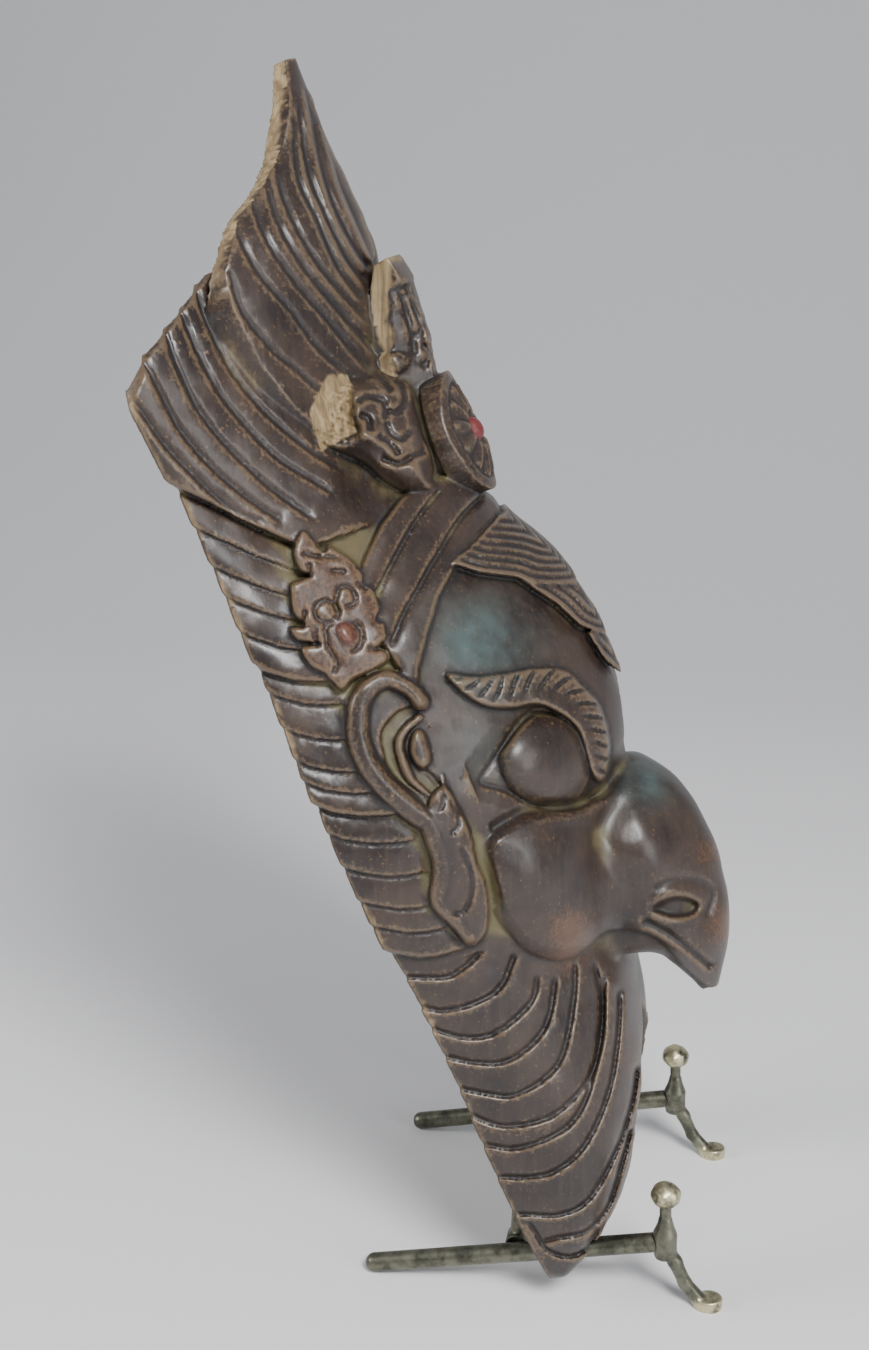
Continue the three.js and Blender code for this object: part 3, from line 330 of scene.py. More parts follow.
LEAF_CURLS = [
    [(303, 0), (306, 3), (310, 2), (313, -1), (312, -6), (308, -8), (304, -6), (304, -3)],
    [(306, 2), (312, 4), (316, 8), (314, 12), (309, 12), (307, 9), (308, 6)],
    [(303, -1), (301, -6), (293, -8), (285, -7), (280, -11)],
    [(300, 7), (295, 9), (289, 6), (287, 1)],
    [(325, -4), (331, -1)],
    [(306, -15), (312, -11)],
    [(296, -12), (302, -11)],
    [(284, 13), (287, 9)],
    [(311, 19), (316, 15)],
    [(329, 12), (333, 3)],
    [(336, -3), (331, 5)],
    [(322, 13), (325, 6)],
]
LEAF_JEWEL = (296, 2)

# Block of distances round the carving, with its voxel size, and the relief sheet
SKIN_STEP = 0.95
BLOCK_HALF_WIDTH = 138
BLOCK_FOOT_V = -8
BLOCK_HEIGHT = 540
BLOCK_BACK_W = -4
BLOCK_DEPTH = 136
DISTANCE_REACH = 3.0
SHEET_STEP = 0.5
SHEET_A = -60
SHEET_B = -72
SHEET_ROWS = 1210
SHEET_COLS = 450
MASK_FACETS = 194000
PROFILE_STEP = 0.5


def eased(points, softness):
    """A profile with its corners rounded over the given length."""
    table = np.asarray(points, float)
    x = np.arange(table[0, 0] - 3 * softness, table[-1, 0] + 3 * softness, PROFILE_STEP)
    y = np.interp(x, table[:, 0], table[:, 1])
    reach = int(2.5 * softness / PROFILE_STEP)
    weight = np.exp(-((np.arange(-reach, reach + 1) * PROFILE_STEP / softness) ** 2))
    y = np.convolve(np.pad(y, reach, mode="edge"), weight / weight.sum(), mode="valid")
    return x, y


SHELL = {
    "rim": eased(RIM_HALF_WIDTH, 6),
    "crown": eased(CROWN_HEIGHT, 6),
    "power": eased(SECTION_POWER, 8),
    "notch": eased(NOTCH_HALF_WIDTH, 3),
    "plume half": eased(PLUME_HALF_WIDTH, 3),
    "plume centre": eased(PLUME_CENTRE, 6),
    "plume edge": eased(PLUME_EDGE, 3),
    "plume thickness": eased(PLUME_THICKNESS, 4),
    "rosette face": eased(ROSETTE_FACE, 4),
    "beak front": eased(BEAK_FRONT, 5),
    "beak back": eased(BEAK_BACK, 3),
    "beak half": eased(BEAK_HALF_WIDTH, 4),
    "crest break": (np.array(CREST_BREAK, float)[:, 0], np.array(CREST_BREAK, float)[:, 1]),
}


def along(name, x):
    """A profile of the shell at some heights."""
    return np.interp(x, *SHELL[name])


def smooth(low, high, x):
    """0 below low, 1 above high, eased between."""
    t = np.clip((x - low) / (high - low), 0, 1)
    return t * t * (3 - 2 * t)


def mix(a, b, t):
    return a + (b - a) * t


def rounded(line, per=6, closed=False):
    """A smooth line through the given points."""
    p = np.asarray(line, float)
    n = len(p)
    spans = n if closed else n - 1
    out = []
    for i in range(spans):
        if closed:
            p0, p1, p2, p3 = (p[(i + k) % n] for k in (-1, 0, 1, 2))
        else:
            p1, p2 = p[i], p[i + 1]
            p0 = p[i - 1] if i > 0 else 2 * p1 - p2
            p3 = p[i + 2] if i + 2 < n else 2 * p2 - p1
        for k in range(per):
            t = k / per
            out.append(
                0.5 * (2 * p1 + (p2 - p0) * t + (2 * p0 - 5 * p1 + 4 * p2 - p3) * t * t
                       + (3 * p1 - p0 - 3 * p2 + p3) * t ** 3)
            )
    if not closed:
        out.append(p[-1])
    return np.array(out)


def loop(points):
    """A smooth closed outline through the given points."""
    return rounded(points, closed=True)


def new_sheet():
    """An empty height map over the side-on layout."""
    return np.zeros((SHEET_ROWS, SHEET_COLS), np.float32)


SHEET_A_LINE = (SHEET_A + SHEET_STEP * np.arange(SHEET_ROWS)).astype(np.float32)
SHEET_B_LINE = (SHEET_B + SHEET_STEP * np.arange(SHEET_COLS)).astype(np.float32)


def window(points, reach):
    """The part of a sheet round some points, with its two coordinates."""
    points = np.asarray(points, float)
    lo = points.min(0) - reach
    hi = points.max(0) + reach
    i0 = max(0, int((lo[0] - SHEET_A) / SHEET_STEP))
    i1 = min(SHEET_ROWS, int((hi[0] - SHEET_A) / SHEET_STEP) + 2)
    j0 = max(0, int((lo[1] - SHEET_B) / SHEET_STEP))
    j1 = min(SHEET_COLS, int((hi[1] - SHEET_B) / SHEET_STEP) + 2)
    return (slice(i0, i1), slice(j0, j1)), SHEET_A_LINE[i0:i1, None], SHEET_B_LINE[None, j0:j1]


def to_line(points, a, b, closed=False):
    """Distance to a line, the side of it, and how far along it, for a block of the sheet."""
    shape = np.broadcast(a, b).shape
    best = np.full(shape, 1e9, np.float32)
    side = np.zeros(shape, np.float32)
    run = np.zeros(shape, np.float32)
    points = np.asarray(points, float)
    q = np.vstack([points, points[:1]]) if closed else points
    lengths = np.hypot(*(q[1:] - q[:-1]).T)
    start = 0.0
    for k in range(len(q) - 1):
        (ax, ay), (bx, by) = q[k], q[k + 1]
        dx, dy = bx - ax, by - ay
        size = dx * dx + dy * dy + 1e-9
        t = np.clip(((a - ax) * dx + (b - ay) * dy) / size, 0, 1)
        d = (a - ax - t * dx) ** 2 + (b - ay - t * dy) ** 2
        near = d < best
        best = np.where(near, d, best)
        side = np.where(near, np.sign(dx * (b - ay) - dy * (a - ax)), side)
        run = np.where(near, start + t * lengths[k], run)
        start += lengths[k]
    return np.sqrt(best), side, run / max(start, 1e-9)


def depth_in(outline, a, b):
    """How far each point lies inside an outline, negative outside."""
    within = np.zeros(np.broadcast(a, b).shape, bool)
    n = len(outline)
    for k in range(n):
        ax, ay = outline[k - 1]
        bx, by = outline[k]
        if ay == by:
            continue
        across = (ay > b) != (by > b)
        within ^= across & (a < ax + (b - ay) * (bx - ax) / (by - ay))
    d = to_line(outline, a, b, closed=True)[0]
    return np.where(within, d, -d)


def edge(depth, soft=EDGE_SOFTNESS):
    """Softened step at the edge of a field."""
    return smooth(-soft / 2, soft / 2, depth)


def field_at(outline, reach):
    """The block of the sheet round an outline, and how far each point lies inside it."""
    at, a, b = window(outline, reach)
    return at, a, b, depth_in(outline, a, b)


def raise_field(sheet, outline, rise, soft=EDGE_SOFTNESS, crown=0.0, crown_width=6.0):
    """Lifts a field to a height, with a crowned top if asked."""
    at, a, b, depth = field_at(outline, soft + 2)
    top = rise + crown * np.sqrt(np.clip(depth / crown_width, 0, 1))
    sheet[at] = mix(sheet[at], np.maximum(sheet[at], top), edge(depth, soft))
    return at, a, b, depth


def sink_field(sheet, outline, height, soft):
    """Brings a field down to a height."""
    at, _, _, depth = field_at(outline, soft + 2)
    sheet[at] = mix(sheet[at], height, edge(depth, soft))


def cut(sheet, line, depth, width, lip=0.0, lip_width=5.0):
    """Cuts a V groove along a line; a lip leaves one side a little proud."""
    at, a, b = window(line, max(width * 2.5, lip_width * 3))
    d, side, run = to_line(line, a, b)
    fade = smooth(-0.002, 0.05, run) * smooth(-0.002, 0.05, 1 - run)
    shape = -depth * np.clip(1 - d / (width * 1.5), 0, 1) ** 1.3
    shape = shape + lip * side * np.exp(-d / lip_width) * smooth(0, width, d)
    sheet[at] += shape * fade


def run_out(line, length):
    """A line made longer at its start, so that its cut runs out over the rim."""
    (a0, b0), (a1, b1) = line[:2]
    reach = length / math.hypot(a0 - a1, b0 - b1)
    return [(a0 + (a0 - a1) * reach, b0 + (b0 - b1) * reach), *line]


def cut_all(sheet, lines, depth, width, lip, lip_width, longer=0):
    """Cuts a groove along each line, made longer at its start if asked."""
    for line in lines:
        if longer:
            line = run_out(line, longer)
        cut(sheet, rounded(line), depth, width, lip, lip_width)


def ridge(sheet, line, rise, half_width):
    """Raises a rounded ridge along a line, slimmer at its ends."""
    at, a, b = window(line, half_width + 1)
    d, _, run = to_line(line, a, b)
    slim = half_width * (0.65 + 0.35 * np.sin(np.pi * np.clip(run, 0.02, 0.98)))
    top = rise * np.clip(1 - (d / slim) ** 2.6, 0, 1) ** 0.5
    sheet[at] = np.maximum(sheet[at], top)


def carve_ruff(sheet):
    """Feather ruff: tiers of overlapping feathers, each rising to its cut lower edge."""
    a = SHEET_A_LINE[:, None]
    b = SHEET_B_LINE
    edges = [np.interp(b, *np.array(line, float).T)[None, :] for line in TIER_EDGES]
    fade = (1 - smooth(-10, 2, b))[None, :]
    above = a > edges[0]
    sheet[:] = np.where(above, TIER_STEP * (1 - smooth(20, 34, b))[None, :], sheet)
    for i in range(1, 4):
        here = (a <= edges[i - 1]) & (a > edges[i])
        t = np.clip((edges[i - 1] - a) / (edges[i - 1] - edges[i]), 0, 1)
        rise = 0.55 * TIER_STEP * t
        last = 0.0
        for end in FEATHER_ENDS[i - 1]:
            f = np.clip((t - last) / (end - last), 0, 1)
            bulge = 0.35 * np.sin(np.pi * np.clip(f, 0, 1) ** 1.4) + 1.5 * f ** 1.3
            rise = np.where((t > last) & (t <= end), rise + bulge, rise)
            last = end
        sheet[:] = np.where(here, rise * fade, sheet)
    for i in range(1, 4):
        gap = edges[i - 1] - edges[i]
        for end in FEATHER_ENDS[i - 1]:
            d = np.abs(a - (edges[i - 1] - end * gap) + 0.6)
            sheet -= 1.0 * np.clip(1 - d / 1.3, 0, 1) * fade
    d = np.abs(a - edges[0] + 1.0)
    sheet -= 2.0 * np.clip(1 - d / 2.4, 0, 1) * (1 - smooth(0, 8, b))[None, :]


def carve_lobes(sheet):
    """Long S-shaped cuts on the side plumes and curved feathers on the lobes."""
    cut_all(sheet, SIDE_PLUME_CUTS, 2.0, 1.4, lip=0.8, lip_width=6, longer=7)
    cut_all(sheet, LOBE_CUTS, 2.0, 1.4, lip=1.0, lip_width=5, longer=9)


def carve_headband(sheet):
    """Three flat bands folded over the brow, each rounded at its edges."""
    at, a, b, depth = raise_field(sheet, HEADBAND, BAND_RISE, soft=1.8)
    near = depth
    for line in BAND_CUTS:
        near = np.minimum(near, to_line(rounded(line), a, b)[0])
    pillow = 1.6 * np.sqrt(np.clip(near / 5, 0, 1)) - 0.8
    sheet[at] += pillow * edge(depth)
    cut_all(sheet, BAND_CUTS, 1.9, 1.1, lip=0.7, lip_width=6)


def carve_hair(sheet):
    """Three stepped tufts over the forehead, combed with fine strands."""
    for tuft, lower, rise in zip(HAIR_TUFTS, TUFT_LOWER_EDGES, TUFT_RISES):
        at, a, b, depth = raise_field(sheet, tuft, rise, soft=1.6)
        d = to_line(rounded(lower), a, b)[0]
        across = np.abs((d / STRAND_SPACING) % 1 - 0.5) * 2
        strands = -1.7 * np.clip(across * 1.9 - 0.9, 0, 1) * edge(depth - 1.8, 2)
        sheet[at] += strands * smooth(1.5, 2.5, d)


def carve_eye(sheet):
    """Bulging eyeball in an almond of lids, and the notched brow over it."""
    at, a, b, depth = field_at(loop(EYE), 12)
    h = sheet[at] - SOCKET_DEPTH * smooth(-11, 0, depth)
    d = np.hypot(a - EYE_CENTRE[0], b - EYE_CENTRE[1]) / EYE_RADIUS
    ball = (EYE_RISE + SOCKET_DEPTH) * np.sqrt(np.clip(1 - d * d, 0, 1)) - SOCKET_DEPTH - 1
    inner = -soft_min(-ball, -h, 3)
    sheet[at] = mix(h, inner, edge(depth, 1.5))
    cut(sheet, rounded(UPPER_LID), 1.7, 1.4, lip=-1.1, lip_width=3)
    cut(sheet, rounded(LOWER_LID), 1.7, 1.4, lip=1.1, lip_width=3)

    at, a, b, depth = raise_field(sheet, loop(BROW), BROW_RISE, soft=1.6)
    d, side, run = to_line(rounded(BROW_LINE), a, b)
    phase = run * BROW_NOTCHES + side * d * 0.09
    notch = np.clip(1 - np.abs((phase % 1) - 0.5) / 0.2, 0, 1)
    round_top = 1.1 * np.sqrt(np.clip(depth / 2.5, 0, 1)) - 0.6
    sheet[at] += (round_top - notch * 2.6 * smooth(-4.5, 0.5, -side * d)) * edge(depth - 0.8, 1.6)


def carve_beak(sheet):
    """Cheek and beak bulbs, the crease over them, nostril and lip."""
    at, a, b, depth = field_at(loop(CHEEK), 4)
    front = 1 - smooth(92, 112, b)
    top = CHEEK_RISE * np.sqrt(np.clip(depth / 7, 0, 1)) * front
    upper = smooth(140, 165, a)
    h = mix(sheet[at], top, mix(edge(depth, 1.6), smooth(-1, 9, depth), upper))
    for (ca, cb), radius, rise in (
        (CHEEK_BULB, CHEEK_BULB_RADIUS, BULB_RISE),
        (BEAK_BULB, BEAK_BULB_RADIUS, BEAK_BULB_RISE),
    ):
        d = np.hypot(a - ca, b - cb) / radius
        h += rise * np.clip(1 - d * d, 0, 1) ** 1.3 * edge(depth, 3)
    sheet[at] = h
    cut(sheet, rounded(CHEEK_CREASE), 2.2, 2.6)
    at, a, b, depth = field_at(loop(NOSTRIL), 6)
    sheet[at] -= NOSTRIL_DEPTH * smooth(-1.2, 2.5, depth)
    sheet[at] += 0.7 * np.exp(-(((depth + 2.6) / 1.8) ** 2))
    cut(sheet, rounded(NOSTRIL_WING), 1.4, 2.2, lip=-0.8, lip_width=3)
    cut(sheet, rounded(LIP_LINE), LIP_DEPTH, 2.2, lip=0.8, lip_width=4)


def carve_ear(sheet):
    """Ear with rolled rim, deep bowl, inner knob and a long hanging lobe."""
    raise_field(sheet, loop(EAR_FIELD), EAR_RISE, soft=3)
    sink_field(sheet, loop(EAR_BOWL), 3.0, 2)
    sink_field(sheet, loop(EAR_CONCHA), -5.5, 4)
    ridge(sheet, rounded(EAR_TRAGUS), 3.2, 2.6)
    raise_field(sheet, loop(EAR_KNOB), 4.5, soft=1.4, crown=1.5, crown_width=3)
    raise_field(sheet, loop(EAR_LOBE), LOBE_RISE, soft=1.6, crown=2.5)
    ridge(sheet, rounded(EAR_CREST), HELIX_RISE, HELIX_HALF_WIDTH)
    cut_all(sheet, EAR_CUTS, 1.7, 1.2, lip=-0.7, lip_width=3)


def carve_plaque(sheet):
    """Flame-edged plaque over the ear, with two curls, a stem and a jewel."""
    outline = rounded(LEAF_PLAQUE, per=4, closed=True)
    raise_field(sheet, outline, LEAF_RISE, soft=1.3, crown=1.2, crown_width=3)
    cut_all(sheet, LEAF_CURLS, 2.2, 1.1, lip=0.5, lip_width=1.8)
    at, a, b = window([LEAF_JEWEL], 9)
    d = np.hypot((a - LEAF_JEWEL[0]) / 1.45, b - LEAF_JEWEL[1])
    sheet[at] += 2.6 * np.sqrt(np.clip(1 - (d / 3.4) ** 2, 0, 1))


def carve_crown(sheet):
    """Boss of deep curls beside the rosette, broken off at its outer end."""
    at, a, b, depth = field_at(loop(CROWN_LEAF), 3)
    swell = 0.8 * np.sin(a * 0.4) * np.sin(b * 0.35 + 1)
    top = (CROWN_RISE + swell) * np.clip(depth / 11, 0, 1) ** 0.55
    sheet[at] = np.maximum(sheet[at], top)
    cut_all(sheet, CROWN_CUTS, 2.8, 1.6, lip=0.9, lip_width=2.2)
    at, a, b = window(CROWN_BREAK, 5)
    depth = depth_in(rounded(CROWN_BREAK, per=3, closed=True), a, b)
    rough = 0.6 * np.sin(a * 1.1 + b) + 0.6 * np.sin(b * 1.5 - a * 0.6) + 0.4 * np.sin(a * 2.3)
    broken = CROWN_RISE * 0.42 + 0.35 * (b - 30) + rough
    sheet[at] = mix(sheet[at], np.minimum(sheet[at], broken), smooth(-2.5, 2.5, depth))


def hand_unevenness():
    """Slow waves and small flats that the gouge leaves."""
    rng = np.random.default_rng(GOUGE_SEED)
    out = new_sheet()
    for spacing, size in GOUGE_WAVES:
        rows = int(SHEET_ROWS * SHEET_STEP / spacing) + 3
        cols = int(SHEET_COLS * SHEET_STEP / spacing) + 3
        knots = rng.normal(size=(rows, cols))
        x = np.arange(SHEET_ROWS) * SHEET_STEP / spacing
        y = np.arange(SHEET_COLS) * SHEET_STEP / spacing
        i, j = x.astype(int), y.astype(int)
        fx = smooth(0, 1, x - i)[:, None]
        fy = smooth(0, 1, y - j)[None, :]
        near = mix(knots[i][:, j], knots[i + 1][:, j], fx)
        far = mix(knots[i][:, j + 1], knots[i + 1][:, j + 1], fx)
        out += size * mix(near, far, fy)
    return out


def carved_sheets():
    """Height maps of the shell, of the central plume and of the crest leaf."""
    shell, plume, crest = (new_sheet() for _ in range(3))
    for carve in (
        carve_ruff, carve_lobes, carve_headband, carve_hair, carve_eye, carve_beak, carve_ear,
        carve_plaque, carve_crown,
    ):
        carve(shell)
    cut_all(plume, PLUME_CUTS, 2.0, 1.4, lip=0.9, lip_width=4, longer=6)
    cut_all(crest, CREST_CUTS, 2.6, 1.5, lip=0.8, lip_width=2.5)
    at, a, b = window([CREST_KNOB], 12)
    d = np.hypot((a - CREST_KNOB[0]) / 0.55, b - CREST_KNOB[1]) / 9
    crest[at] += 3.5 * np.sqrt(np.clip(1 - d * d, 0, 1))
    uneven = hand_unevenness()
    return shell + uneven, plume + uneven, crest + uneven


def section(s, w, half_width, height, power):
    """Distance to a half-round section."""
    p = np.abs(s) / half_width
    q = np.abs(w) / height
    g = np.maximum((p ** power + q ** power) ** (1 / power), 1e-3)
    gp = (p / g) ** (power - 1) / half_width
    gq = (q / g) ** (power - 1) / height
    return (g - 1) / np.maximum(np.hypot(gp, gq), 1e-6)


def soft_min(a, b, k):
    """Union of two distances, blended over k."""
    h = np.clip(0.5 + 0.5 * (b - a) / k, 0, 1)
    return mix(b, a, h) - k * h * (1 - h)


def soft_max(a, b, k):
    """Overlap of two distances, blended over k."""
    return -soft_min(-a, -b, k)


def side_on(s, v, w):
    """Height and depth of a point in the side-on layout."""
    away = SIGHT_U / (SIGHT_U - s)
    return SIGHT_V + (v - SIGHT_V) * away, SIGHT_W + (w - SIGHT_W) * away


def sheet_reader(s, v, w):
    """Reads the height maps at a slab's points, between their cells."""
    a, b = side_on(s, v[:, 0], w[0])
    x = np.clip((a - SHEET_A) / SHEET_STEP, 0, SHEET_ROWS - 1.001)
    y = np.clip((b - SHEET_B) / SHEET_STEP, 0, SHEET_COLS - 1.001)
    i, j = x.astype(int), y.astype(int)
    fx, fy = (x - i)[:, None], (y - j)[None, :]

    def height(sheet):
        rows = mix(sheet[i], sheet[i + 1], fx)
        return mix(rows[:, j], rows[:, j + 1], fy)

    return height


def hollow_distance(s, v, w):
    """Distance to the hollow behind the face, negative inside it."""
    depth = np.maximum(2, along("crown", v) - WALL_AT_CROWN)
    return section(s, w, along("rim", v) - WALL_AT_RIM, depth, along("power", v))


def plume_form(s, v):
    """Half width of the central plume and the place of its front face."""
    half = along("plume half", v)
    centre = along("plume centre", v)
    return half, centre - (centre - along("plume edge", v)) * np.minimum(1.2, (s / half) ** 2)


def plume_slab(s, v, w, relief):
    """Thin curved fan of the central plume."""
    half, face = plume_form(s, v)
    slope = (along("plume half", v + 2) - along("plume half", v - 2)) / 4
    wall = (s - half) / np.hypot(1, slope)
    plume = np.maximum(w - face - relief, face - along("plume thickness", v) - w)
    ends = np.maximum(v - PLUME_TIP_V, PLUME_FOOT_V - v)
    return np.maximum(plume, np.maximum(wall, ends))


def crest_slab(s, v, w, relief):
    """Leaf on the middle line, slimmer in front of its break."""
    behind = np.maximum(0, w - along("crest break", v))
    half = np.maximum(CREST_FRONT_HALF_WIDTH, CREST_HALF_WIDTH - 0.75 * behind)
    return np.maximum(-depth_in(CREST_LEAF, v, w), s - half - relief)


def beak_slab(s, v, w):
    """Hooked beak between its front and back profiles."""
    front = along("beak front", v)
    back = along("beak back", v)
    half = along("beak half", v)
    beak = section(s, w - (front + back) / 2, half, (front - back) / 2, BEAK_POWER)
    return np.maximum(beak, np.maximum(BEAK_TIP_V - v, v - BEAK_TOP_V))


def carving_slab(s, v, w, sheets):
    """Signed distance in one slab of the mask at half width s, negative inside the wood."""
    height = sheet_reader(s, v, w)
    body = section(s, w, along("rim", v), along("crown", v), along("power", v))
    body = soft_max(body, LOBE_TIP_V - v, LOBE_ROUNDING)
    body = soft_min(body, beak_slab(s, v, w), BEAK_BLEND)
    body = body - height(sheets[0])

    top = SIDE_PLUME_TIP_V - abs(s - SIDE_PLUME_TIP_U) * SIDE_PLUME_FALL
    top = top - SIDE_PLUME_ROUNDING * max(0, s - SIDE_PLUME_CORNER_U) ** 2
    thin = -body - (SIDE_PLUME_EDGE + SIDE_PLUME_SWELL * np.maximum(0, top - v))
    body = np.maximum(body, np.maximum(thin, v - top))
    if s < CREST_HALF_WIDTH + 6:
        body = np.minimum(body, crest_slab(s, v, w, height(sheets[2])))
    if s < ROSETTE_RADIUS + 4:
        body = np.minimum(body, rosette_slab(s, v, w))
    body = np.minimum(body, plume_slab(s, v, w, height(sheets[1])))

    tilt = np.where((v > 15) & (v < 92), NOTCH_SLOPE, 0)
    notch = (along("notch", v) - s) / np.hypot(1, tilt)
    rounding = mix(LOBE_ROUNDING, 1, np.clip((v - 15) / 15, 0, 1))
    body = soft_max(body, notch, rounding)
    return np.maximum(np.maximum(body, -hollow_distance(s, v, w)), -w)


def rosette_slab(s, v, w):
    """Domed disc with a rim, pointed petals and a bead in the middle."""
    r = np.hypot(s, v - ROSETTE_V)
    turn = np.arctan2(s, v - ROSETTE_V) * ROSETTE_PETALS / (2 * np.pi)
    across = np.abs((turn % 1) - 0.5) * 2
    t = np.clip((r - 8) / 14, 0, 1)
    slim = np.maximum(0.95 - 0.75 * t ** 3, 0.05)
    petal = PETAL_RISE * np.sqrt(np.clip(1 - across / slim, 0, 1))
    ring = RING_RISE * smooth(RING_RADIUS, RING_RADIUS + 1.2, r)
    bead = BEAD_RISE * np.sqrt(np.clip(1 - (r / BEAD_RADIUS) ** 2, 0, 1))
    carved = np.where(r > RING_RADIUS, ring, petal * smooth(7, 9, r)) + bead
    dome = ROSETTE_DOME * (s / ROSETTE_RADIUS) ** 2
    face = along("rosette face", v) - PETAL_RISE - dome + carved
    disc = np.maximum(np.maximum(r - ROSETTE_RADIUS, w - face), ROSETTE_BACK_W - w)
    stem = np.maximum(w - ROSETTE_BACK_W - 2, ROSETTE_STEM_W - w)
    return np.minimum(disc, np.maximum(r - ROSETTE_STEM_RADIUS, stem))


# Stand in millimetres: its points are (y, z) or (x, y, z), with y not yet centred
RAIL_X = 60
RAIL_RADIUS = 4.3
RAIL_FRONT = (20, 31)
RAIL_REAR = (150, RAIL_RADIUS)
GAP = 0.3
COLLAR_RADIUS = 5.4
COLLAR_PROFILE = [(-7, 4.3), (-3, 5.4), (4, 5.4), (8.1, 3.8), (11.9, 2.6)]
NECK_RADIUS = 2.6
FINIAL = (20.5, 54.5)
FINIAL_RADIUS = 6.6
FINIAL_SQUASH = 0.84
LEG = [(20, 28.9), (15, 21.1), (10.4, 11), (4, 3.4)]
LEG_RADII = [3.5, 3.1, 2.9, 3.3]
FOOT_HALF_WIDTH = 5.4
FOOT_HALF_LENGTH = 6.4
FOOT_HEIGHT = 5
BACKREST_RADIUS = 3.4
BACKREST_FOOT = (50.4, 86, 17.44)
BACKREST_BEND = (34, 78.5, 202.2)
BACKREST_PATH = [
    BACKREST_FOOT, BACKREST_BEND, (25, 74.6, 203.1), (13, 70.9, 203.9), (0, 69.5, 204.2),
]
LUG_ENDS = (46.4, 55.4)
LUG_RADIUS = 5
CAST_STEP = 0.4
CAST_FACETS = 9000
BAR_SIDES = 36
BAR_SPACING = 0.8


def bar_distance(x, y, z, start, end, r0, r1=None):
    """Distance to a round bar that may taper."""
    ax, ay, az = start
    dx, dy, dz = (q - p for p, q in zip(start, end))
    t = ((x - ax) * dx + (y - ay) * dy + (z - az) * dz) / (dx * dx + dy * dy + dz * dz)
    t = np.clip(t, 0, 1)
    d = np.sqrt((x - ax - t * dx) ** 2 + (y - ay - t * dy) ** 2 + (z - az - t * dz) ** 2)
    return d - mix(r0, r0 if r1 is None else r1, t)


def stand_room(s, v, w):
    """Keeps the wood clear of the stand's rail and backrest at this half width."""
    y = BACK_FOOT_Y + v * math.sin(LEAN) - w * math.cos(LEAN)
    z = BACK_FOOT_Z + v * math.cos(LEAN) + w * math.sin(LEAN)
    front, rear = (RAIL_X, *RAIL_FRONT), (RAIL_X, *RAIL_REAR)
    room = bar_distance(s, y, z, front, rear, RAIL_RADIUS + GAP)
    for start, end in zip(BACKREST_PATH, BACKREST_PATH[1:]):
        room = np.minimum(room, bar_distance(s, y, z, start, end, BACKREST_RADIUS + GAP))
    return room


def skin_of(field, corner, step):
    """Meshes the zero level of a block of distances; returns points and quads."""
    grid = openvdb.FloatGrid(background=DISTANCE_REACH)
    grid.copyFromArray(np.clip(field, -DISTANCE_REACH, DISTANCE_REACH), tolerance=0.0)
    points, _, quads = grid.convertToPolygons(isovalue=0.0, adaptivity=0.0)
    return points * step + np.asarray(corner, np.float32), quads[:, ::-1]


def blurred(block, reach):
    """A block smoothed along its three axes."""
    weights = np.exp(-((np.arange(-reach, reach + 1) / (0.5 * reach + 0.2)) ** 2) / 2)
    weights = (weights / weights.sum()).astype(np.float32)
    for axis in range(3):
        block = np.moveaxis(block, axis, 0)
        wide = np.pad(block, ((reach, reach), (0, 0), (0, 0)), mode="edge")
        out = np.zeros_like(block)
        for k, share in enumerate(weights):
            out += share * wide[k:k + len(block)]
        block = np.moveaxis(out, 0, axis)
    return block


def sampled(block, corner, step, points):
    """Values of a block at some points, between its cells."""
    x = (points - np.asarray(corner, np.float32)) / step
    x = np.clip(x, 0, np.array(block.shape) - 1.001)
    i = x.astype(int)
    f = x - i
    total = 0
    for corner_step in itertools.product((0, 1), repeat=3):
        share = np.prod(np.abs(1 - np.array(corner_step) - f), axis=1)
        total = total + share * block[tuple((i + corner_step).T)]
    return total


def mask_block():
    """Distances over the whole carving, both halves alike."""
    sheets = carved_sheets()
    step = SKIN_STEP
    half = int(BLOCK_HALF_WIDTH / step)
    v = BLOCK_FOOT_V + step * np.arange(int(BLOCK_HEIGHT / step) + 1)
    w = BLOCK_BACK_W + step * np.arange(int(BLOCK_DEPTH / step) + 1)
    field = np.empty((2 * half + 1, len(v), len(w)), np.float32)
    for k in range(half + 1):
        s = step * k
        slab = carving_slab(s, v[:, None], w[None, :], sheets)
        if s < RAIL_X + RAIL_RADIUS + 3:
            slab = np.maximum(slab, -stand_room(s, v[:, None], w[None, :]))
        field[half + k] = slab
        field[half - k] = slab
    np.clip(field, -DISTANCE_REACH, DISTANCE_REACH, out=field)
    return field, (-half * step, v[0], w[0])


def placed(local):
    """Turns mask sizes into metres in the stand's frame."""
    u, v, w = local.T
    y = BACK_FOOT_Y - MIDDLE_Y + v * math.sin(LEAN) - w * math.cos(LEAN)
    z = BACK_FOOT_Z + v * math.cos(LEAN) + w * math.sin(LEAN)
    return np.stack([u, y, z], 1) * MM


def in_scene(obj):
    bpy.context.scene.collection.objects.link(obj)
    return obj


def mesh_object(name, points, faces):
    """A smooth mesh object from points and faces of one size."""
    mesh = bpy.data.meshes.new(name)
    mesh.vertices.add(len(points))
    mesh.vertices.foreach_set("co", np.ascontiguousarray(points, np.float32).ravel())
    n = faces.shape[1]
    mesh.loops.add(faces.size)
    mesh.loops.foreach_set("vertex_index", np.ascontiguousarray(faces, np.int32).ravel())
    mesh.polygons.add(len(faces))
    mesh.polygons.foreach_set("loop_start", np.arange(0, faces.size, n, dtype=np.int32))
    mesh.polygons.foreach_set("use_smooth", np.ones(len(faces), bool))
    mesh.update(calc_edges=True)
    mesh.validate()
    return in_scene(bpy.data.objects.new(name, mesh))


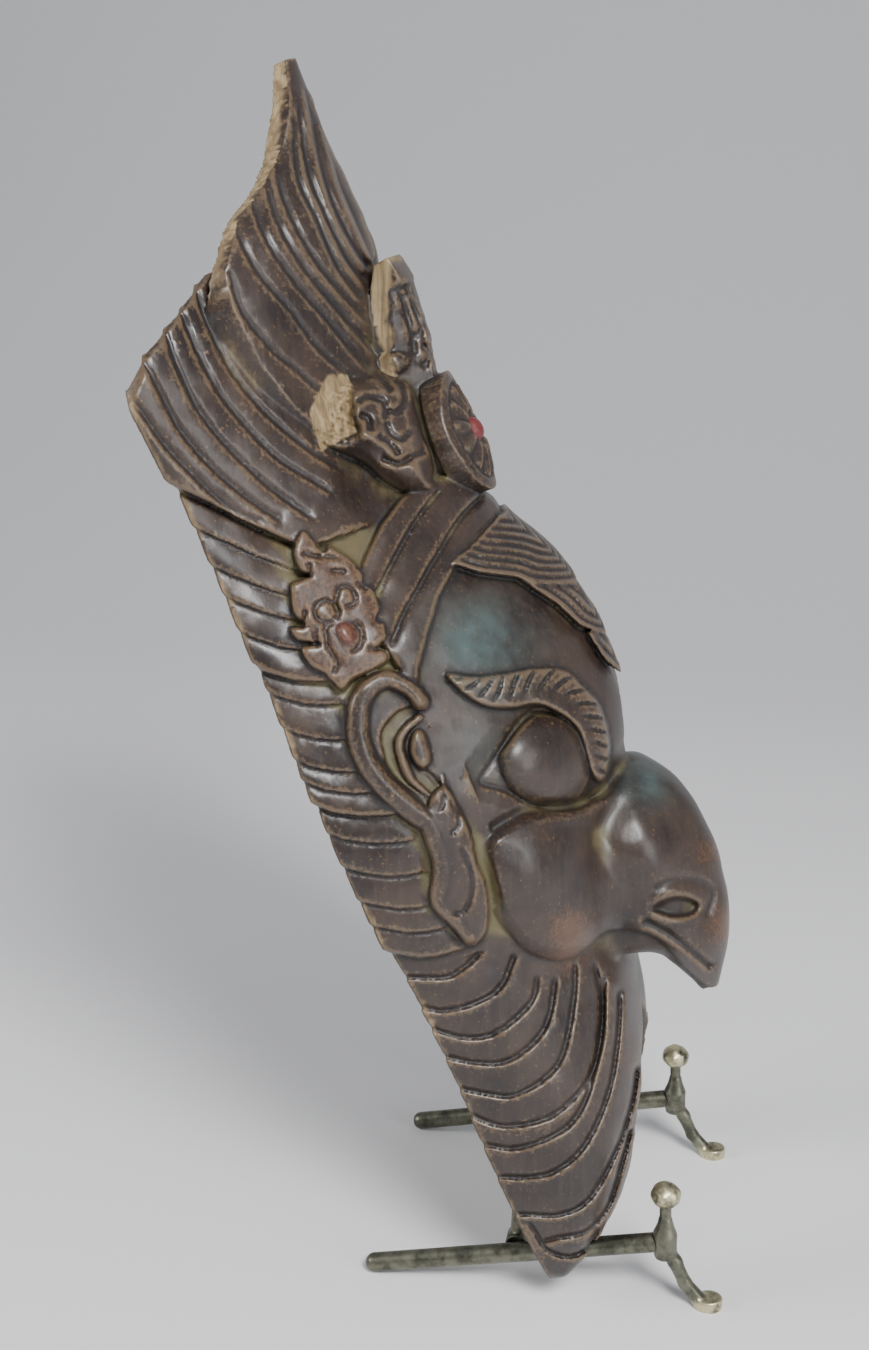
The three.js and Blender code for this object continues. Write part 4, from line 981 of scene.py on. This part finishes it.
def baked(obj):
    """The object's mesh with its modifiers applied."""
    graph = bpy.context.evaluated_depsgraph_get()
    mesh = bpy.data.meshes.new_from_object(obj.evaluated_get(graph))
    obj.modifiers.clear()
    obj.data = mesh
    return obj


def thinned(obj, facets):
    """Fewer facets, fewest where the form is flat."""
    thin = obj.modifiers.new("thin", "DECIMATE")
    thin.ratio = min(1.0, facets / (2 * len(obj.data.polygons)))
    return largest_surface(baked(obj))


def largest_surface(obj):
    """The object without the few facets that hang on nothing."""
    form = bmesh.new()
    form.from_mesh(obj.data)
    form.faces.index_update()
    form.faces.ensure_lookup_table()
    seen = bytearray(len(form.faces))
    surfaces = []
    for first in range(len(form.faces)):
        if seen[first]:
            continue
        seen[first] = 1
        surface, front = [], [first]
        while front:
            face = form.faces[front.pop()]
            surface.append(face)
            for edge in face.edges:
                for other in edge.link_faces:
                    if not seen[other.index]:
                        seen[other.index] = 1
                        front.append(other.index)
        surfaces.append(surface)
    surfaces.sort(key=len)
    scraps = [face for surface in surfaces[:-1] for face in surface]
    bmesh.ops.delete(form, geom=scraps, context="FACES")
    form.to_mesh(obj.data)
    form.free()
    return obj


def points_of(mesh):
    points = np.empty(len(mesh.vertices) * 3, np.float32)
    mesh.vertices.foreach_get("co", points)
    return points.reshape(-1, 3)


def move_points(mesh, points):
    mesh.vertices.foreach_set("co", np.ascontiguousarray(points, np.float32).ravel())
    mesh.update()


def write_values(mesh, name, values):
    """Stores one value for each point of the mesh."""
    layer = mesh.attributes.new(name, "FLOAT", "POINT")
    layer.data.foreach_set("value", np.ascontiguousarray(values, np.float32))


# Tinted places on the side-on layout: height, depth, radius, strength; the bluish-green ones are
# a painted highlight
WARM_SPOTS = [
    (132, 48, 16, 0.7), (112, 118, 16, 0.7), (150, 120, 10, 0.56), (118, 40, 12, 0.4),
    (60, 55, 12, 0.4),
]
PAINTED_SHEEN_SPOTS = [(272, 58, 24, 0.9), (190, 103, 13, 1.0), (225, 40, 18, 0.35)]


def spots(a, b, table):
    """The sum of soft round spots."""
    total = 0
    for at_a, at_b, radius, strength in table:
        d = np.hypot(a - at_a, b - at_b) / radius
        total = total + strength * np.exp(-d * d * 1.5)
    return total


def age_values(mesh, points, field, corner):
    """Where edges are worn, grooves get painted shade, dust lies, colour shows and a bluish-green
    highlight is painted, at each point.
    """
    fine = sampled(blurred(field, 2), corner, SKIN_STEP, points)
    fine = fine - sampled(field, corner, SKIN_STEP, points)
    wood = np.clip(0.5 - field[::3, ::3, ::3] / 3, 0, 1)
    mass = sampled(blurred(wood, 5), corner, 3 * SKIN_STEP, points)
    u, v, w = points.T
    s = np.abs(u)
    a, b = side_on(s, v, w)
    hollow = np.abs(hollow_distance(s, v, w))
    inner = np.maximum(1 - smooth(0.7, 1.6, hollow), 1 - smooth(0.4, 1.4, w))
    outer = 1 - inner

    half, face = plume_form(s, v)
    ribbon = smooth(-1.2, -0.4, s - half) * smooth(0.5, 1.5, face - w) * smooth(384, 392, v)
    thick = along("plume thickness", v)
    ribbon *= (1 - smooth(1.0, 2.0, s - half)) * smooth(-1.5, 0, w - face + thick)
    ribbon *= 0.25 + 0.75 * smooth(440, 485, v)
    broken = smooth(-0.5, 1.5, depth_in(CROWN_BREAK, a[:, None], b[:, None])[:, 0]) * (s > 14)
    crest_side = (s < CREST_HALF_WIDTH + 5) * smooth(389, 394, v) * smooth(57, 61, w)
    crest_side = crest_side * (1 - smooth(438, 442, v)) * smooth(0.2, 1.0, w - face)
    crest_side = crest_side * smooth(-0.5, 1.5, np.interp(v, *SHELL["crest break"]) - w) * (s > 8)
    rim_edge = 0.6 * (1 - smooth(0.5, 4.5, w)) * smooth(-4, -1, s - along("rim", v)) * outer
    raw = np.clip(ribbon + 0.9 * broken * outer + 0.75 * crest_side + rim_edge, 0, 1)

    ears = smooth(120, 150, a) * (1 - smooth(335, 350, a)) * (1 - smooth(24, 36, b))
    dust = np.clip((mass - 0.53) / 0.12, 0, 1) * (0.45 + 0.55 * ears)
    plaque = smooth(-1, 1, depth_in(LEAF_PLAQUE, a[:, None], b[:, None])[:, 0]) * (s > 60)
    warm = spots(a, b, WARM_SPOTS) + 0.5 * plaque
    # painted highlight: bluish-green sheen spots on the forehead and by the eye
    painted_teal_sheen = spots(a, b, PAINTED_SHEEN_SPOTS)
    bead = (np.hypot(s, v - ROSETTE_V) < BEAD_RADIUS + 0.4) * smooth(84, 86, w)
    jewel = (np.hypot((a - LEAF_JEWEL[0]) / 1.45, b - LEAF_JEWEL[1]) < 3.8) * (s > 60)
    for name, values in (
        ("worn_edge", np.clip(fine / 0.55, 0, 1) * (0.35 + 0.65 * outer)),
        # groove: small hollows, which the wood material darkens as painted shade
        ("groove", np.clip(-fine / 0.40, 0, 1)),
        ("dust", dust * outer + 0.25 * inner),
        ("raw_wood", raw),
        ("warm", np.clip(warm, 0, 1) * outer),
        # painted highlight: where the bluish-green sheen is laid
        ("painted_teal_sheen", np.clip(painted_teal_sheen, 0, 1) * outer),
        ("red", np.maximum(0.9 * bead, 0.35 * jewel)),
        ("inner", inner),
    ):
        write_values(mesh, name, values)


def carved_mask():
    """The carving: meshed, thinned in millimetres, marked for age and set in place."""
    field, corner = mask_block()
    obj = thinned(mesh_object("mask_carving", *skin_of(field, corner, SKIN_STEP)), MASK_FACETS)
    points = points_of(obj.data)
    age_values(obj.data, points, field, corner)
    move_points(obj.data, placed(points))
    return obj


def cast_object(name, distance, low, high, facets, bright):
    """A cast piece from a distance rule over a box, in metres."""
    axes = [np.arange(a - 2, b + 2, CAST_STEP, dtype=np.float32) for a, b in zip(low, high)]
    x, y, z = axes[0][:, None, None], axes[1][None, :, None], axes[2][None, None, :]
    corner = [axis[0] for axis in axes]
    obj = thinned(mesh_object(name, *skin_of(distance(x, y, z), corner, CAST_STEP)), facets)
    points = points_of(obj.data)
    write_values(obj.data, "bright", bright(*points.T))
    points[:, 1] -= MIDDLE_Y
    move_points(obj.data, points * MM)
    return obj


def casting(name, side):
    """Front casting: finial, neck, collar, splayed leg and foot."""
    mid_x = side * RAIL_X
    rail_y, rail_z = RAIL_FRONT
    leg = [((mid_x, *place), radius) for place, radius in zip(LEG, LEG_RADII)]

    def distance(x, y, z):
        r = np.sqrt((x - mid_x) ** 2 + (y - rail_y) ** 2)
        h = z - rail_z
        collar = r - np.interp(h, *np.array(COLLAR_PROFILE).T)
        collar = np.maximum(collar, np.abs(h - 2) - 9.5)
        neck = bar_distance(x, y, z, (mid_x, rail_y, rail_z + 8), (mid_x, *FINIAL), NECK_RADIUS)
        lump = 0.35 * np.sin(x * 0.9 + 1) * np.sin(y * 0.8) * np.sin(z * 0.7)
        flat = ((z - FINIAL[1]) / FINIAL_SQUASH) ** 2
        ball = np.sqrt((x - mid_x) ** 2 + (y - FINIAL[0]) ** 2 + flat) - FINIAL_RADIUS - lump
        whole = soft_min(soft_min(collar, neck, 1.5), ball, 1.2)
        for (start, r0), (end, r1) in zip(leg, leg[1:]):
            whole = soft_min(whole, bar_distance(x, y, z, start, end, r0, r1), 1.5)
        oval = np.sqrt(((x - mid_x) / FOOT_HALF_WIDTH) ** 2 + (y / FOOT_HALF_LENGTH) ** 2)
        foot = soft_max((oval - 1) * FOOT_HALF_WIDTH, z - FOOT_HEIGHT + 0.1 * y, 1.5)
        return np.maximum(soft_min(whole, foot, 2), -z)

    def bright(x, y, z):
        return np.maximum(smooth(48, 52, z), (1 - smooth(4, 7, z)) * (1 - smooth(4, 9, y)))

    low, high = (mid_x - 7, -7, 0), (mid_x + 7, 28, 61)
    return cast_object(name, distance, low, high, CAST_FACETS, bright)


def backrest():
    """Bent bar from rail to rail, with a cast lug at each foot."""
    lug_middle = sum(LUG_ENDS) / 2
    lug_half_length = (LUG_ENDS[1] - LUG_ENDS[0]) / 2

    def distance(x, y, z):
        x = np.abs(x)
        lug = np.sqrt((y - BACKREST_FOOT[1]) ** 2 + (z - BACKREST_FOOT[2]) ** 2) - LUG_RADIUS
        whole = np.maximum(lug, np.abs(x - lug_middle) - lug_half_length)
        for start, end in zip(BACKREST_PATH, BACKREST_PATH[1:]):
            bar = bar_distance(x, y, z, start, end, BACKREST_RADIUS)
            whole = soft_min(whole, bar, 0.8)
        return whole

    def bright(x, y, z):
        return 0.25 * smooth(30, 40, np.abs(x)) * smooth(190, 200, z)

    low, high = (-56, 65, 11), (56, 92, 209)
    return cast_object("backrest_bar", distance, low, high, 2 * CAST_FACETS, bright)


class Maker:
    """Short ways to add nodes, sums, mixes and ramps to a node tree."""

    def __init__(self, tree):
        self.tree = tree

    def put(self, slot, value):
        if isinstance(value, bpy.types.NodeSocket):
            self.tree.links.new(value, slot)
        else:
            slot.default_value = value

    def node(self, kind, settings=None, **given):
        made = self.tree.nodes.new(kind)
        for key, value in (settings or {}).items():
            setattr(made, key, value)
        for key, value in given.items():
            self.put(made.inputs[key.replace("_", " ")], value)
        return made

    def math(self, operation, *given):
        made = self.node("ShaderNodeMath", {"operation": operation})
        for slot, value in zip(made.inputs, given):
            self.put(slot, value)
        return made.outputs[0]

    def plus(self, first, second):
        return self.math("ADD", first, second)

    def times(self, first, second):
        return self.math("MULTIPLY", first, second)

    def noise(self, **given):
        return self.node("ShaderNodeTexNoise", **given).outputs[0]

    def value(self, name):
        """A value stored on the piece's own points."""
        return self.node("ShaderNodeAttribute", {"attribute_name": name}).outputs["Fac"]

    def blend(self, share, first, second):
        made = self.node("ShaderNodeMix", {"data_type": "RGBA"})
        for k, value in ((0, share), (6, first), (7, second)):
            self.put(made.inputs[k], value)
        return made.outputs[2]

    def steps(self, value, low, high):
        made = self.node("ShaderNodeMapRange", {"interpolation_type": "SMOOTHSTEP"}, Value=value)
        made.inputs["From Min"].default_value = low
        made.inputs["From Max"].default_value = high
        return made.outputs["Result"]

    def bump(self, shader, height, strength, distance):
        made = self.node("ShaderNodeBump", Height=height, Strength=strength, Distance=distance)
        self.put(shader.inputs["Normal"], made.outputs["Normal"])


def new_group(name, kind, given, results):
    """An empty node group with named sockets; returns it with its maker."""
    tree = bpy.data.node_groups.new(name, kind)
    for label, socket_kind, value in given:
        socket_type = "NodeSocket" + socket_kind
        socket = tree.interface.new_socket(label, in_out="INPUT", socket_type=socket_type)
        if value is not None:
            socket.default_value = value
    for label, socket_kind in results:
        socket_type = "NodeSocket" + socket_kind
        tree.interface.new_socket(label, in_out="OUTPUT", socket_type=socket_type)
    return tree, Maker(tree)


def bar_tree(metal):
    """Node tree: a round bar along a path, domed at its far end and a little uneven."""
    given = [
        ("Geometry", "Geometry", None), ("Radius", "Float", RAIL_RADIUS * MM),
        ("Spacing", "Float", BAR_SPACING * MM), ("Unevenness", "Float", 0.12 * MM),
        ("Sides", "Int", BAR_SIDES), ("Metal", "Material", metal),
    ]
    results = [("Geometry", "Geometry")]
    tree, make = new_group("bar_along_path", "GeometryNodeTree", given, results)
    given = make.node("NodeGroupInput").outputs
    curve = make.node("GeometryNodeMeshToCurve", Mesh=given["Geometry"]).outputs["Curve"]
    even = make.node(
        "GeometryNodeResampleCurve", {"mode": "LENGTH"}, Curve=curve, Length=given["Spacing"],
    )
    run = make.node("GeometryNodeSplineParameter").outputs["Length"]
    whole = make.node("GeometryNodeSplineLength").outputs["Length"]
    left = make.math("DIVIDE", make.math("SUBTRACT", whole, run), given["Radius"])
    short = make.math("SUBTRACT", 1.0, make.math("MINIMUM", left, 1.0))
    dome = make.math("SUBTRACT", 1.0, make.math("POWER", short, 2.0))
    dome = make.math("SQRT", make.math("MAXIMUM", dome, 0.0004))
    ring = make.node(
        "GeometryNodeCurvePrimitiveCircle", Resolution=given["Sides"], Radius=given["Radius"],
    )
    swept = make.node(
        "GeometryNodeCurveToMesh", Curve=even.outputs["Curve"], Scale=dome,
        Profile_Curve=ring.outputs["Curve"], Fill_Caps=True,
    )
    lift = make.math("SUBTRACT", make.noise(Scale=90.0), 0.5)
    lift = make.times(lift, given["Unevenness"])
    normal = make.node("GeometryNodeInputNormal").outputs["Normal"]
    shift = make.node("ShaderNodeVectorMath", {"operation": "SCALE"}, Vector=normal, Scale=lift)
    uneven = make.node(
        "GeometryNodeSetPosition", Geometry=swept.outputs["Mesh"], Offset=shift.outputs["Vector"],
    )
    real = make.node("GeometryNodeRealizeInstances", Geometry=uneven.outputs["Geometry"])
    paint = make.node(
        "GeometryNodeSetMaterial", Geometry=real.outputs["Geometry"], Material=given["Metal"],
    )
    make.node("NodeGroupOutput", Geometry=paint.outputs["Geometry"])
    return tree


def rail(name, side, tree):
    """Side rail, hollowed at its front end to fit the collar."""
    (y0, z0), (y1, z1) = RAIL_FRONT, RAIL_REAR
    length = math.hypot(y1 - y0, z1 - z0)
    step_y, step_z = (y1 - y0) / length, (z1 - z0) / length
    fit = COLLAR_RADIUS + GAP
    ends = [
        (side * RAIL_X, y0 + fit - MIDDLE_Y, z0 + fit * step_z / step_y),
        (side * RAIL_X, y1 + RAIL_RADIUS * step_y - MIDDLE_Y, z1 + RAIL_RADIUS * step_z),
    ]
    path = bpy.data.meshes.new(name)
    path.from_pydata([tuple(c * MM for c in p) for p in ends], [(0, 1)], [])
    obj = in_scene(bpy.data.objects.new(name, path))
    bar = obj.modifiers.new("bar", "NODES")
    bar.node_group = tree
    for item in tree.interface.items_tree:
        if item.in_out == "INPUT" and item.socket_type != "NodeSocketGeometry":
            bar[item.identifier] = item.default_value
    baked(obj)
    points = points_of(obj.data)
    first = points[:, 1] < (y0 + fit + 1 - MIDDLE_Y) * MM
    run = np.sqrt(np.maximum((fit * MM) ** 2 - (points[first, 0] - side * RAIL_X * MM) ** 2, 0))
    start = (y0 - MIDDLE_Y) * MM + run
    points[first, 2] += (start - points[first, 1]) * step_z / step_y
    points[first, 1] = start
    points[:, 2] = np.maximum(points[:, 2], 0)
    move_points(obj.data, points)
    obj.data.polygons.foreach_set("use_smooth", np.ones(len(obj.data.polygons), bool))
    return obj


# Tones of the wood and the brass
WAX_DARK = (0.015, 0.010, 0.009, 1)
WAX_BROWN = (0.041, 0.025, 0.018, 1)
WAX_PALE = (0.062, 0.042, 0.030, 1)
# painted highlight: bluish-green sheen
PAINTED_TEAL_SHEEN = (0.060, 0.105, 0.105, 1)
WARM_TINT = (0.135, 0.062, 0.028, 1)
# painted shade: near-black laid into the grooves
GROOVE_PAINTED_SHADE = (0.010, 0.008, 0.008, 1)
DUST = (0.160, 0.135, 0.058, 1)
WORN_EDGE = (0.155, 0.104, 0.058, 1)
RAW_DARK = (0.150, 0.100, 0.045, 1)
RAW_PALE = (0.340, 0.250, 0.135, 1)
GOLDEN_DOT = (0.220, 0.125, 0.045, 1)
RED_PAINT = (0.130, 0.018, 0.018, 1)
INSIDE_DARK = (0.050, 0.032, 0.020, 1)
INSIDE_PALE = (0.095, 0.060, 0.036, 1)
BRASS_FILM_DARK = (0.075, 0.076, 0.058, 1)
BRASS_FILM_PALE = (0.190, 0.188, 0.140, 1)
BRASS_RUBBED = (0.62, 0.56, 0.36, 1)


def wood_grain_group():
    """Fine grain that runs up the wood, slow mottling and small specks."""
    tree, make = new_group(
        "wood_grain", "ShaderNodeTree", [("Place", "Vector", None), ("Size", "Float", 1.0)],
        [("Grain", "Float"), ("Mottle", "Float"), ("Specks", "Float")],
    )
    given = make.node("NodeGroupInput").outputs
    place = given["Place"]
    turned = make.node(
        "ShaderNodeMapping", Vector=place, Rotation=(LEAN, 0, 0), Scale=(420, 420, 26),
    ).outputs[0]
    make.node(
        "NodeGroupOutput",
        Grain=make.noise(Vector=turned, Scale=given["Size"], Detail=4.0, Roughness=0.6),
        Mottle=make.noise(Vector=place, Scale=34.0, Detail=5.0, Roughness=0.62),
        Specks=make.noise(Vector=place, Scale=620.0, Detail=3.0, Roughness=0.7),
    )
    return tree


def broken_mask_group():
    """Turns a soft value into a worn, uneven mask with the help of noise."""
    tree, make = new_group(
        "broken_mask", "ShaderNodeTree",
        [("Value", "Float", 0.0), ("Noise", "Float", 0.5), ("Amount", "Float", 1.0)],
        [("Mask", "Float")],
    )
    given = make.node("NodeGroupInput").outputs
    rough = make.times(make.math("SUBTRACT", given["Noise"], 0.5), 1.7)
    value = make.plus(make.times(given["Value"], 1.15), rough)
    mask = make.times(make.steps(value, 0.25, 0.85), make.steps(given["Value"], 0.02, 0.22))
    make.node("NodeGroupOutput", Mask=make.times(mask, given["Amount"]))
    return tree


def new_material(name):
    material = bpy.data.materials.new(name)
    material.use_nodes = True
    tree = material.node_tree
    return material, tree.nodes["Principled BSDF"], Maker(tree)


def carved_wood_material():
    """Dark waxed wood, worn at its edges, dusty in its crevices and raw where it broke, with
    painted shade in its grooves and a painted bluish-green highlight.
    """
    material, shader, make = new_material("patinated_wood")
    times, plus, blend, steps, value = make.times, make.plus, make.blend, make.steps, make.value
    place = make.node("ShaderNodeTexCoord").outputs["Object"]
    kind = "ShaderNodeGroup"
    shades = make.node(kind, {"node_tree": wood_grain_group()}, Place=place).outputs
    grain, mottle, specks = shades["Grain"], shades["Mottle"], shades["Specks"]
    mask_tree = {"node_tree": broken_mask_group()}

    def worn(name, noise, amount):
        made = make.node(kind, mask_tree, Value=value(name), Noise=noise, Amount=amount)
        return made.outputs[0]

    groove, inner = value("groove"), value("inner")
    raw = worn("raw_wood", mottle, 0.95)
    raw_tone = blend(steps(grain, 0.35, 0.7), RAW_DARK, RAW_PALE)
    inside = blend(steps(grain, 0.35, 0.7), INSIDE_DARK, INSIDE_PALE)
    tone = blend(steps(mottle, 0.32, 0.68), WAX_DARK, WAX_BROWN)
    for share, layer in (
        (times(steps(grain, 0.45, 0.75), 0.35), WAX_PALE),
        # painted highlight: bluish-green sheen in mottled spots
        (times(value("painted_teal_sheen"), steps(mottle, 0.25, 0.7)), PAINTED_TEAL_SHEEN),
        (worn("warm", specks, 0.55), WARM_TINT),
        # painted shade: grooves darkened nearly to black
        (times(groove, 0.8), GROOVE_PAINTED_SHADE),
        (worn("dust", mottle, 0.52), DUST),
        (worn("worn_edge", specks, 0.55), WORN_EDGE),
        (raw, raw_tone),
        (times(steps(specks, 0.63, 0.70), 0.45), GOLDEN_DOT),
        (value("red"), RED_PAINT),
        (times(inner, 0.85), inside),
    ):
        tone = blend(share, tone, layer)
    make.put(shader.inputs["Base Color"], tone)

    dull = plus(plus(times(raw, 0.35), times(groove, 0.25)), times(inner, 0.3))
    rough = plus(times(mottle, 0.28), 0.24)
    make.put(shader.inputs["Roughness"], make.math("MINIMUM", plus(rough, dull), 0.9))
    make.bump(shader, plus(times(grain, 0.5), times(specks, 0.35)), 0.35, 0.00045)
    shader.inputs["Coat Roughness"].default_value = 0.3
    shader.inputs["Coat Weight"].default_value = 0.12
    return material


def brass_material():
    """Blackened brass with green-grey film, rubbed bright where it is touched."""
    material, shader, make = new_material("blackened_brass")
    place = make.node("ShaderNodeTexCoord").outputs["Object"]
    film = make.noise(Vector=place, Scale=120.0, Detail=6.0, Roughness=0.65)
    pits = make.noise(Vector=place, Scale=900.0, Detail=3.0)
    rubbed = make.times(make.value("bright"), make.steps(film, 0.30, 0.55))
    tone = make.blend(make.steps(film, 0.35, 0.65), BRASS_FILM_DARK, BRASS_FILM_PALE)
    make.put(shader.inputs["Base Color"], make.blend(rubbed, tone, BRASS_RUBBED))
    shader.inputs["Metallic"].default_value = 0.9
    make.put(shader.inputs["Roughness"], make.plus(make.times(film, 0.3), 0.24))
    make.bump(shader, make.plus(film, make.times(pits, 0.5)), 0.3, 0.0004)
    return material


def plain_finish(name, tone, roughness):
    material, shader, _ = new_material(name)
    shader.inputs["Base Color"].default_value = (*tone, 1)
    shader.inputs["Roughness"].default_value = roughness
    return material


def take_place(piece, node, material):
    """Gives a piece its material and tells the frame what it is."""
    if not piece.data.materials:
        piece.data.materials.append(material)
    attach(piece, "root")
    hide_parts(node)


wood = carved_wood_material()
metal = brass_material()
bars = bar_tree(metal)
take_place(carved_mask(), "mask", wood)
for hand, side in (("left", -1), ("right", 1)):
    take_place(casting(f"front_casting_{hand}", side), f"casting_{hand}", metal)
    take_place(rail(f"side_rail_{hand}", side, bars), f"rail_{hand}", metal)
take_place(backrest(), "backrest", metal)


# Backdrop, lights and camera, in metres
SWEEP_X = 0.9
SWEEP_RADIUS = 1.6
FLOOR_FRONT_X = -4
FLOOR_HALF_WIDTH = 5
BACKDROP_TOP = 6
FLOOR_TONE = (0.80, 0.80, 0.81)
SKY_TONE = (0.80, 0.82, 0.86, 1)
SKY_STRENGTH = 0.42
LIGHT_AIM = Vector((0, 0, 0.27))
LIGHTS = [
    ("key", (-1.0, -0.55, 1.25), 0.45, 30),
    ("fill", (-0.9, -1.4, 0.5), 0.7, 9),
    ("rim", (-0.5, 1.3, 0.8), 0.6, 12),
]
SENSOR_WIDTH = 36
FOCAL_LENGTH = 1700 / 1350 * SENSOR_WIDTH
CAMERA_AZIMUTH = math.radians(-80.24)
CAMERA_ELEVATION = math.radians(17.19)
CAMERA_DISTANCE = 0.75058
CAMERA_AIM = Vector((0, (132.74 - MIDDLE_Y) * MM, 266.79 * MM))


def looking(obj, back):
    """Puts a lamp or camera in the scene with its back to the given direction."""
    obj.rotation_euler = back.to_track_quat("Z", "Y").to_euler()
    return in_scene(obj)


def studio():
    """Pale floor, soft lights and the camera at the photo's angle."""
    profile = [(FLOOR_FRONT_X, 0)]
    for t in [math.radians(3 * k) for k in range(31)]:
        across, up = math.sin(t), 1 - math.cos(t)
        profile.append((SWEEP_X + SWEEP_RADIUS * across, SWEEP_RADIUS * up))
    profile.append((SWEEP_X + SWEEP_RADIUS, BACKDROP_TOP))
    places = [(x, y, z) for x, z in profile for y in (-FLOOR_HALF_WIDTH, FLOOR_HALF_WIDTH)]
    strips = [(2 * k, 2 * k + 2, 2 * k + 3, 2 * k + 1) for k in range(len(profile) - 1)]
    floor = mesh_object("floor", np.array(places), np.array(strips))
    floor.data.materials.append(plain_finish("pale_floor", FLOOR_TONE, 0.8))

    world = bpy.data.worlds.new("studio")
    world.use_nodes = True
    sky = world.node_tree.nodes["Background"].inputs
    sky["Color"].default_value = SKY_TONE
    sky["Strength"].default_value = SKY_STRENGTH
    bpy.context.scene.world = world

    for name, place, size, power in LIGHTS:
        data = bpy.data.lights.new(name, "AREA")
        data.shape = "SQUARE"
        data.size = size
        data.energy = power
        lamp = bpy.data.objects.new(name, data)
        lamp.location = place
        looking(lamp, Vector(place) - LIGHT_AIM)

    camera = bpy.data.objects.new("camera", bpy.data.cameras.new("camera"))
    camera.data.sensor_width = SENSOR_WIDTH
    camera.data.lens = FOCAL_LENGTH
    camera.data.clip_start = 0.01
    back = Vector((
        math.sin(CAMERA_AZIMUTH) * math.cos(CAMERA_ELEVATION),
        -math.cos(CAMERA_AZIMUTH) * math.cos(CAMERA_ELEVATION),
        math.sin(CAMERA_ELEVATION),
    ))
    camera.location = CAMERA_AIM + back * CAMERA_DISTANCE
    bpy.context.scene.camera = looking(camera, back)


studio()
